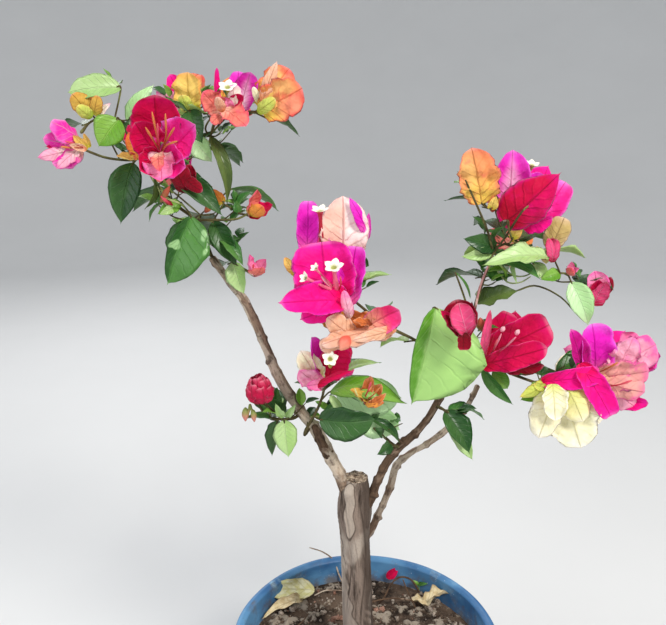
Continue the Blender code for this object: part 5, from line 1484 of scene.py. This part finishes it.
crownRight = {
    "name": "crown_right", "seed": 71, "extra": 7, "space": ((20, -75, 355), (172, 110, 530)),
    "stem": [
        (60, -10, 386), (61, -10, 389), (64, -9, 401), (66, -8, 415), (70, -5, 428), (75, -1, 440),
        (79, 2, 450), (88, 5, 452), (104, 5, 444),
    ],
    "blooms": [
        ((58, -30, 398), [
            ("claret", (-3, -14, 7), (-10, -19, 29), 16, "wedge"),
            ("darkRed", (-3, -12, 5), (-11, -15, 30), 21, "wedge"),
            ("crimson", (-6, -16, 12), (-20, -20, 25), 8, "cup"),
            ("darkRed", (-3, -13, 9), (-2, -16, 29), 6, "cup"),
            ("darkRed", (-6, -16, 11), (-6, -19, 1), 9, "square"), ("tube red", (0, -6, 3), (-6, -14, 19)),
        ]),
        ((85, 8, 476), [
            ("flame", (2, 0, -1), (2, -2, 34), 25, "round"),
            ("blush", (-1, -6, -9), (-3, -10, 6), 9, "round shell"),
            ("violet", (9, 6, 3), (26, 8, 18), 19, "round"), ("tube green", (11, 4, 8), (14, -4, 27), 4),
        ]),
        ((82, -12, 469), [
            ("heart", (0, 0, 1), (27, -7, 29), 32, "heart shell"),
            ("rosy", (23, 24, -8), (43, 30, 21), 21, "blunt"),
            ("magenta", (11, 12, -3), (29, 6, 1), 15, "round", down),
        ]),
        ((114, -3, 446), [
            ("claret", (-1, -3, -3), (-5, -6, 12), 8, "round shell", leanRight),
            ("claret", (-1, -1, -4), (0, -4, 11), 9, "round shell", leanLeft),
            ("darkRed", (0, 2, -4), (0, 3, 11), 9, "round"),
        ]),
        ((142, 6, 420), [
            ("pink", (6, -2, -2), (1, -6, 15), 16, "blunt"),
            ("claret", (2, -6, -7), (7, -11, 9), 13, "round cup"),
            ("crimson", (3, -4, -7), (3, -9, 10), 11, "round cup"),
            ("darkRed", (7, 6, -5), (16, 4, 9), 11, "round"),
        ]),
        ((128, 5, 432), (0.2, -0.5, 0.8), 9, 22, 0, "pink coral pink"),
        ((86, 48, 482), (-0.25, 0.95, 0.1), 25, 46, 0, "crimson magenta crimson"),
        ((113, 54, 474), (0.2, 0.95, 0.15), 30, 46, 30, "magenta violet pink"),
        ((108, 66, 441), (0.05, 1, -0.1), 24, 52, 60, "orange peach coral"),
        ((58, 30, 374), (-0.2, 0.95, -0.1), 26, 44, 0, "coral orange peach"),
    ],
    "blades": [
        ("leafSun", (38, -28, 419), (26, -30, 358), 43, "lopsided"),
        ("amber", (67, -6, 479), (59, -8, 512), 26, "round crumpled"),
        ("yellow", (72, -8, 476), (74, -12, 484), 7, "", level),
        ("yellow", (87, -6, 457), (90, -10, 470), 8, "", level),
        ("khaki", (114, 4, 449), (121, 2, 469), 18, "blunt shell"),
        ("leafPale", (110, -8, 446), (68, -21, 445), 15, "frill", up),
        ("leafDark", (79, 2, 451), (58, -4, 457), 13, "", level),
        ("leafPale", (77, 2, 448), (57, -6, 446), 9, "", level),
        ("leaf", (82, 4, 444), (106, -6, 433), 11, "", (0, -0.8, 0.6)),
        ("leafPale", (104, 4, 440), (113, 0, 430), 9, "", level),
        ("leafBright", (121, 1, 434), (108, -3, 431), 9, "", (0, -0.8, 0.6)),
        ("leafMint", (129, 2, 428), (140, -6, 402), 17),
        ("leafOlive", (68, -3, 415), (92, -8, 425), 14, "frill", up),
        ("leafDark", (88, 20, 456), (76, 58, 458), 20, "", (0, 0.1, 1)),
        ("leaf", (100, 18, 450), (128, 48, 448), 19, "", (0.1, 0.2, 1)),
        ("leafDark", (72, 6, 430), (48, 36, 420), 19, "", (0, 0.2, 1)),
        ("leaf", (84, 12, 438), (96, 50, 420), 19, "", (0, 0.4, 1)),
        ("leafPale", (112, 14, 442), (146, 30, 440), 17, "", (0, 0.3, 1)),
    ],
    "more": [
        ("leafBright", (83, 4, 441), (96, -2, 430), 5, "curly", up),
        ("leaf", (86, 2, 441), (103, -4, 433), 5, "curly", up),
        ("leafBright", (79, 4, 441), (83, 0, 427), 4, "curly", faceRight),
        ("leafPale", (94, 3, 441), (90, -4, 427), 4, "curly", faceLeft),
        ("leafOlive", (103, 4, 434), (116, 0, 430), 5, "frill", up),
        ("khaki", (111, -4, 442), (102, -8, 453), 6),
        ("lime", (87, -6, 457), (92, -8, 468), 7, "round shell"),
        ("leaf", (63, -6, 419), (52, -9, 438), 3, "", faceRight),
    ],
    "shoots": [
        ("twig", 0.8, [(77, 1, 448), (73, -4, 459), (66, -9, 473), (55, -12, 494)]),
        ("twig", 0.7, [(78, 1, 448), (83, -6, 459), (87, -21, 475), (91, -23, 480)]),
        ("young stem", 0.75, [(66, -9, 414), (68, -9, 427), (73, -6, 440)]),
        ("twig", 0.6, [(94, 2, 422), (107, 4, 425), (123, 4, 418), (134, 0, 407)]),
        ("green stem", 0.5, [(82, 2, 440), (89, -3, 434), (97, -3, 433), (105, 0, 436)]),
        ("green stem", 0.5, [(81, 2, 435), (87, -3, 429), (95, -3, 429), (102, 0, 432)]),
        ("twig", 0.7, [(62, -6, 412), (57, -8, 425), (52, -9, 437)]),
    ],
    "knobs": [
        ("rust bud", (67, -26, 404), (65, -29, 413), 6), ("tube orange", (74, -5, 474), (73, -9, 484), 6),
        ("tube orange", (78, -5, 476), (77, -9, 483), 4),
    ],
}
sprays = [crownLeft, spurLeft, sprayMiddle, bloomCentre, leafLow, twigInner, sprayFar, crownRight]

# How a spray grows, in mm: one stem, twigs from the nearest grown point to every bloom and leaf, seeded
# leaves. Radii are those of the solids; slim draws them thinner
growth = {
    "stem": (1.7, 1.1), "twig": (1.0, 0.9, 1.5, 0.9), "stalk": (0.8, 0.8, 0.6), "slim": 0.72, "sway": 0.07,
    "rootShare": 0.14, "golden": math.radians(137.5), "tries": 40, "extraFace": (0, 0.15, 1),
    "extraLooks": ("leafDark", "leaf", "leafPale"), "extraStalk": (4, 9), "extraLength": (20, 32),
    "extraWidth": (13, 18), "extraSlope": (-0.5, 0.4), "backward": 0.15,
    "bladeRows": ((0.36, 1.0), (0.74, 0.68)), "bladeThick": 0.9, "bladeFold": 0.28, "bladeArch": 0.10,
}
# Open blooms: lengths of the three bracts and their width as shares, the opening in degrees past which they
# curl back, and the flowers on the first bracts; then radii in mm along a tube, and of a knob as shares
bloomPlan = {"shares": (1.0, 0.95, 0.91), "width": 0.86, "flat": 45, "tubes": 2, "tubeLength": 0.50,
             "tubeSway": 0.06, "tubeLook": "tube red", "tubeStart": 0.04, "tubeLean": 0.55,
             "tubeRadii": (0.30, 0.42, 0.50, 0.44, 0.55, 0.68, 0.35),
             "knobRadii": (0.16, 0.36, 0.48, 0.50, 0.44, 0.26, 0.08)}
bractShape = {"fold": 0.05, "arch": -0.13, "roll": 0.75, "wave": 0.11, "waves": 2.4, "lobe": 0.10,
              "power": 0.50, "widest": 0.41, "thick": 0.30 * mm}
leafShape = {"fold": 0.20, "arch": 0.09, "roll": 0.40, "wave": 0.07, "waves": 2.0, "power": 0.62,
             "widest": 0.40, "curl": -0.05, "thick": 0.40 * mm}
petalShape = {**leafShape, **bractShape, "arch": 0.06, "lobe": 0.0}
whorlShape = {"roll": 1.3, "curl": -0.12, "arch": -0.24, "wave": 0.30, "ragged": 0.08, "point": 0.0}
whorlPlan = {"look": "wine", "words": "blunt", "lean": 2, "leanStep": 2, "size": 1.02, "sizeStep": 0.026,
             "width": 0.58, "widthStep": 0.03, "outStep": 0.42, "upward": 0.2}
# Words for the shape of a blade
shapes = {
    "round": {"power": 0.43, "widest": 0.47, "point": 0.02}, "broad": {"power": 0.46, "widest": 0.48},
    "blunt": {"power": 0.36, "widest": 0.54, "point": 0.02}, "cup": {"roll": 0.85, "arch": -0.10},
    "square": {"power": 0.26, "widest": 0.56, "point": 0.0}, "shell": {"roll": -0.85, "arch": 0.09},
    "wedge": {"power": 0.85, "widest": 0.70, "point": 0.0}, "bow": {"arch": 0.20},
    "heart": {"power": 0.52, "widest": 0.34, "lobe": 0.12, "wave": 0.10},
    "lopsided": {"skew": -0.57, "fold": 0.16, "power": 0.52, "widest": 0.42, "crumple": 0.10},
    "crumpled": {"crumple": 0.17, "ragged": 0.09, "wave": 0.18, "roll": 0.3},
    "frill": {"wave": 0.32, "waves": 2.3}, "hood": {"arch": 0.30, "roll": -0.5},
    "dome": {"roll": -0.45, "arch": 0.07}, "curly": {"curl": 0.45, "arch": 0.25, "roll": 1.0, "twist": 1.2},
}
# The tube and mouth of a true flower: height, radius, how far five lobes stretch it, and lift it
starProfile = [
    (0.00, 0.16, 0, 0), (0.10, 0.26, 0, 0), (0.25, 0.33, 0, 0), (0.42, 0.28, 0, 0), (0.62, 0.21, 0, 0),
    (0.78, 0.24, 0, 0), (0.88, 0.36, 0.02, 0), (0.94, 0.60, 0.06, 0), (0.985, 0.86, 0.12, 0.01),
    (1.00, 1.00, 0.17, 0.02), (0.995, 0.93, 0.15, 0.02), (0.965, 0.62, 0.07, 0.01), (0.93, 0.36, 0, 0),
    (0.90, 0.22, 0, 0), (0.86, 0.12, 0, 0), (0.85, 0.03, 0, 0),
]


def coarseTube(a, b, radii):
    # the source's three-sided stalk, for the test of free space
    ahead = (b - a).normalized()
    side = ahead.orthogonal().normalized()
    other = ahead.cross(side)
    corners = [side * math.cos(angle) + other * math.sin(angle) for angle in anglesOf(3)]
    points = [p + corner * r * mm for p, r in zip((a, b), radii) for corner in corners]
    return points, [(0, 1, 4, 3), (1, 2, 5, 4), (2, 0, 3, 5), (2, 1, 0), (3, 4, 5)]


def coarseBlade(foot, tip, width, face):
    # the source's plain leaf: midrib(t) = foot + ahead * length * t + normal * arch * length * 4t(1 - t)
    length = (tip - foot).length
    ahead = (tip - foot).normalized()
    side = ahead.cross(Vector(face)).normalized()
    normal = side.cross(ahead)
    points = [foot, tip]
    for t, share in growth["bladeRows"]:
        half = 0.5 * width * share
        middle = foot + ahead * (length * t) + normal * (growth["bladeArch"] * length * 4 * t * (1 - t))
        thick, lift = normal * (0.5 * growth["bladeThick"] * mm), normal * (growth["bladeFold"] * half)
        points += [middle + side * half + lift, middle + thick, middle - side * half + lift, middle - thick]
    faces = []
    for k, n in ((0, 1), (1, 2), (2, 3), (3, 0)):
        faces += [(0, 2 + k, 2 + n), (2 + k, 6 + k, 6 + n, 2 + n), (6 + k, 1, 6 + n)]
    return points, faces


def treeOf(points, faces):
    # a solid's faces, ready for the test of free space
    return BVHTree.FromPolygons([tuple(p) for p in points], faces)


def treeOfNode(name):
    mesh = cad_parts[name].data
    return treeOf([v.co for v in mesh.vertices], [tuple(p.vertices) for p in mesh.polygons])


def within(points, low, high):
    return all(low[i] <= p[i] <= high[i] for p in points for i in range(3))


def anyWay(dice, low=-1):
    # a random vector whose parts lie between -1 and 1, the upward one between low and 1
    return Vector((dice.uniform(-1, 1), dice.uniform(-1, 1), dice.uniform(low, 1)))


def sidesOf(axis):
    # two directions square to an axis and to each other, the first one as upright as it can be
    upward = Vector((0, 0, 1)) if abs(axis.z) < 0.93 else Vector((0, -1, 0))
    first = (upward - axis * upward.dot(axis)).normalized()
    return first, axis.cross(first)


def addTube(made, kind, look, route, radii):
    # radii in mm
    made[kind].append({"look": look, "route": route, "radii": np.array(radii) * mm})


def addBud(dice, made, look, foot, tip):
    # an unopened flower: a tube through a swayed middle
    middle = (foot + tip) / 2 + anyWay(dice) * (tip - foot).length * bloomPlan["tubeSway"]
    addTube(made, "buds", look, [foot, middle, tip], bloomPlan["tubeRadii"])


def addBlade(dice, made, look, foot, tip, width, words="", face=front):
    # a leaf or a bract between two places, its shape varied by the dice and then set by its words
    kind, shape = ("leaves", leafShape) if look in leafLooks else ("bracts", petalShape)
    row = {**bladeBase, **shape, "look": look, "foot": foot, "tip": tip, "width": width, "face": face,
           "phase": dice.random(), "waves": shape["waves"] * dice.uniform(0.8, 1.2),
           "tint": dice.random() ** 2, "twist": dice.uniform(-0.25, 0.25),
           "arch": shape["arch"] * dice.uniform(0.6, 1.3)}
    for word in words.split():
        row.update(shapes[word])
    made[kind].append(row)
    return row


def drawnBloom(dice, made, start, parts):
    # petals, true flowers and tubes one by one: a look from the buds makes a tube, or with a mouth a flower
    for look, foot, tip, *more in parts:
        foot, tip = start + spot(foot), start + spot(tip)
        if look not in budLooks:
            addBlade(dice, made, look, foot, tip, more[0] * mm, *more[1:])
        elif more:
            made["flowers"].append({"look": look, "second": "flower star", "foot": foot, "axis": tip - foot,
                                    "length": (tip - foot).length, "width": more[0] * mm})
        else:
            addBud(dice, made, look, foot, tip)


def whorlBloom(dice, made, foot, axis, length, count):
    # bract k stands k golden angles round the axis; its lean, in degrees, size, width and distance from the
    # axis each change by a step with k
    axis = Vector(axis).normalized()
    first, second = sidesOf(axis)
    for k in range(count):
        out = first * math.cos(k * growth["golden"]) + second * math.sin(k * growth["golden"])
        lean = math.radians(whorlPlan["lean"] + whorlPlan["leanStep"] * k)
        size = length * (whorlPlan["size"] - whorlPlan["sizeStep"] * k) * mm
        width = (whorlPlan["width"] + whorlPlan["widthStep"] * k) * size
        tip = foot + (axis * math.cos(lean) + out * math.sin(lean)) * size
        start = foot + out * whorlPlan["outStep"] * k * mm
        row = addBlade(dice, made, whorlPlan["look"], start, tip, width, whorlPlan["words"],
                       axis * whorlPlan["upward"] - out)
        row.update(whorlShape)


def openBloom(dice, made, foot, axis, length, opening, turn, looks):
    # three bracts lean out from the bloom's axis, 120 degrees apart; the first two have a flower each
    axis = Vector(axis).normalized()
    first, second = sidesOf(axis)
    lean, inward = math.radians(opening), math.radians(opening * bloomPlan["tubeLean"])
    for i, (look, share) in enumerate(zip(looks.split(), bloomPlan["shares"])):
        angle = math.radians(turn + 120 * i)
        out = first * math.cos(angle) + second * math.sin(angle)
        way = axis * math.cos(lean) + out * math.sin(lean)
        size = length * share * mm
        made["bracts"].append({
            **bladeBase, **bractShape, "look": look, "foot": foot + (way * 0.3 + out * 0.2) * mm,
            "tip": foot + way * size, "width": bloomPlan["width"] * size * dice.uniform(0.97, 1.06),
            "face": axis - out * 0.2, "phase": dice.random(), "waves": dice.uniform(1.8, 3.0),
            "tint": dice.random() ** 1.5, "roll": dice.uniform(0.55, 0.95),
            "twist": dice.uniform(-0.25, 0.25),
            "curl": dice.uniform(-0.10, 0.05) - 0.05 * (opening > bloomPlan["flat"])})
        if i < bloomPlan["tubes"]:
            start = foot + way * size * bloomPlan["tubeStart"]
            reach = bloomPlan["tubeLength"] * size * dice.uniform(0.8, 1.1)
            tip = start + (axis * math.cos(inward) + out * math.sin(inward)) * reach
            addBud(dice, made, bloomPlan["tubeLook"], start, tip)


bloomKinds = {1: drawnBloom, 3: whorlBloom, 5: openBloom}  # by how many things follow the foot in a row


def growSpray(plan, taken):
    # the source's rule, with its order of draws, dressed with blooms, leaves and twigs from other draws
    dice, fine = random.Random(plan["seed"]), random.Random(plan["seed"] + 500)
    space = [spot(corner) for corner in plan["space"]]
    stem = [spot(p) for p in plan["stem"]]
    nodes, stations = stem[2:], 2 * len(stem)
    made = {"leaves": [], "bracts": [], "twigs": [], "flowers": [], "buds": []}

    def addTwig(route, radii):
        addTube(made, "twigs", "twig", route, np.array(radii) * growth["slim"])

    def isFree(points, faces):
        tree = treeOf(points, faces)
        return within(points, *space) and not any(tree.overlap(other) for other in taken)

    addTwig(stem, np.linspace(*growth["stem"], stations) * (1 + 0.12 * np.cos(math.pi * np.arange(stations))))
    wanted = [(spot(foot), None, item) for foot, *item in plan.get("blooms", ())]
    for look, foot, tip, width, *more in plan["blades"]:
        foot, tip = spot(foot), spot(tip)
        wanted.append((foot, foot + (tip - foot) * growth["rootShare"], (look, foot, tip, width * mm, *more)))
    wanted.sort(key=lambda item: min((n - item[0]).length for n in stem))
    for foot, end, item in wanted:
        start = min(nodes, key=lambda n: (n - foot).length)
        if end:
            route, radii = [start, foot, end], growth["stalk"]
            addBlade(fine, made, *item)
        else:
            bend = (start + foot) / 2 + anyWay(dice, -0.2) * growth["sway"] * (foot - start).length
            ahead = (foot - start).normalized() * mm
            route, radii = [start, bend, foot - ahead * 0.5, foot + ahead * 1.2], growth["twig"]
            bloomKinds[len(item)](fine, made, foot, *item)
        addTwig(route, radii)
        nodes += route[1:-1]
    for count in range(plan["extra"]):
        for attempt in range(growth["tries"]):
            node = nodes[dice.randrange(len(nodes))]
            angle = (count + attempt) * growth["golden"]
            back = abs(math.sin(angle)) + growth["backward"]
            way = Vector((math.cos(angle), back, dice.uniform(*growth["extraSlope"]))).normalized()
            foot = node + way * dice.uniform(*growth["extraStalk"]) * mm
            tip = foot + way * dice.uniform(*growth["extraLength"]) * mm
            blade = foot, tip, dice.uniform(*growth["extraWidth"]) * mm
            end = foot + (tip - foot) * growth["rootShare"]
            stalk = coarseTube(node, end, growth["stalk"][1:])
            if isFree(*coarseBlade(*blade, growth["extraFace"])) and isFree(*stalk):
                addBlade(fine, made, dice.choice(growth["extraLooks"]), *blade, face=growth["extraFace"])
                addTwig([node, foot, end], growth["stalk"][1:])
                break
    for look, foot, tip, width, *more in plan.get("more", ()):
        addBlade(fine, made, look, spot(foot), spot(tip), width * mm, *more)
    for look, foot, tip, width in plan.get("knobs", ()):
        route = [spot(foot), (spot(foot) + spot(tip)) / 2, spot(tip)]
        addTube(made, "buds", look, route, np.array(bloomPlan["knobRadii"]) * width)
    for look, radius, route in plan.get("shoots", ()):
        addTube(made, "twigs", look, [spot(p) for p in route], np.array((1, 1, 0.8)) * radius)
    growSprigs(fine, int(len(nodes) * plan.get("sprigs", sprig["each"])), nodes, space, made)
    return made


# Fine twigs in mm: how many for each grown point, length, rise and radii of one, the thorn, and its leaves:
# length, width as a share, looks, the way they look, radians and a share of the twig between them
sprig = {"each": 0.55, "length": (9, 20), "rise": 0.25, "radii": (0.55, 0.45, 0.35), "thorn": 4.5,
         "thornRadii": (0.5, 0.3, 0.08), "leaf": (8, 15), "leafWidth": (0.50, 0.62),
         "looks": ("leafBright", "leaf", "leaf", "leafDark"), "face": (0, -0.2, 1), "fork": 2.3, "step": 0.18}


def growSprigs(dice, sprigs, nodes, space, made):
    # finer twigs: each leaves a grown point to the back or side, bends up, has a thorn at its middle and
    # ends in two or three small leaves
    for count in range(sprigs):
        node = nodes[dice.randrange(len(nodes))]
        angle = count * growth["golden"]
        way = Vector((math.cos(angle), abs(math.sin(angle)) + 0.1, dice.uniform(-0.3, 0.7))).normalized()
        size = dice.uniform(*sprig["length"]) * mm
        middle, end = node + way * size * 0.5, node + way * size + Vector((0, 0, sprig["rise"])) * size
        if not within([end], *space):
            continue
        addTube(made, "twigs", "twig", [node, middle, end], sprig["radii"])
        for k in range(dice.choice((2, 3))):
            turn = angle + sprig["fork"] * k + dice.uniform(-0.4, 0.4)
            lean = Vector((math.cos(turn), math.sin(turn) * 0.8 + 0.3, dice.uniform(-0.1, 0.9))).normalized()
            foot = end - way * size * sprig["step"] * k
            tip = foot + (lean + way * 0.5).normalized() * dice.uniform(*sprig["leaf"]) * mm
            if within([tip], *space):
                width = (tip - foot).length * dice.uniform(*sprig["leafWidth"])
                addBlade(dice, made, dice.choice(sprig["looks"]), foot, tip, width, face=sprig["face"])
        side = Vector((way.y, -way.x, 0.4)).normalized() * sprig["thorn"] * mm
        thorn = [middle, middle + side * 0.6, middle + side + way * mm]
        addTube(made, "twigs", "twig", thorn, sprig["thornRadii"])


# The pieces of a spray: kind, maker and slot; across and along a blade, stations and sides of a tube, or the
# profile, split, lobes and sides of the true flowers
pieceKinds = [
    ("leaves", bladeMesh, "foliage", 9, 15), ("twigs", tubeMesh, "twigs", 14, 8),
    ("bracts", bladeMesh, "bracts", 15, 21), ("flowers", latheMesh, "bracts", starProfile, 8, 5, 20),
    ("buds", tubeMesh, "bracts", 12, 8),
]
taken = [treeOfNode(name) for name in ("trunk", "bough_left", "bough_right", "bough_back")]
for plan in sprays:
    grown = growSpray(plan, taken)
    name = plan["name"]
    taken.append(treeOfNode(name))
    for kind, make, slotName, *grid in pieceKinds:
        if grown[kind]:
            put(make(kind + "_" + name, grown[kind], *grid), slotName, name)
    print(name, {kind: len(rows) for kind, rows in grown.items()})
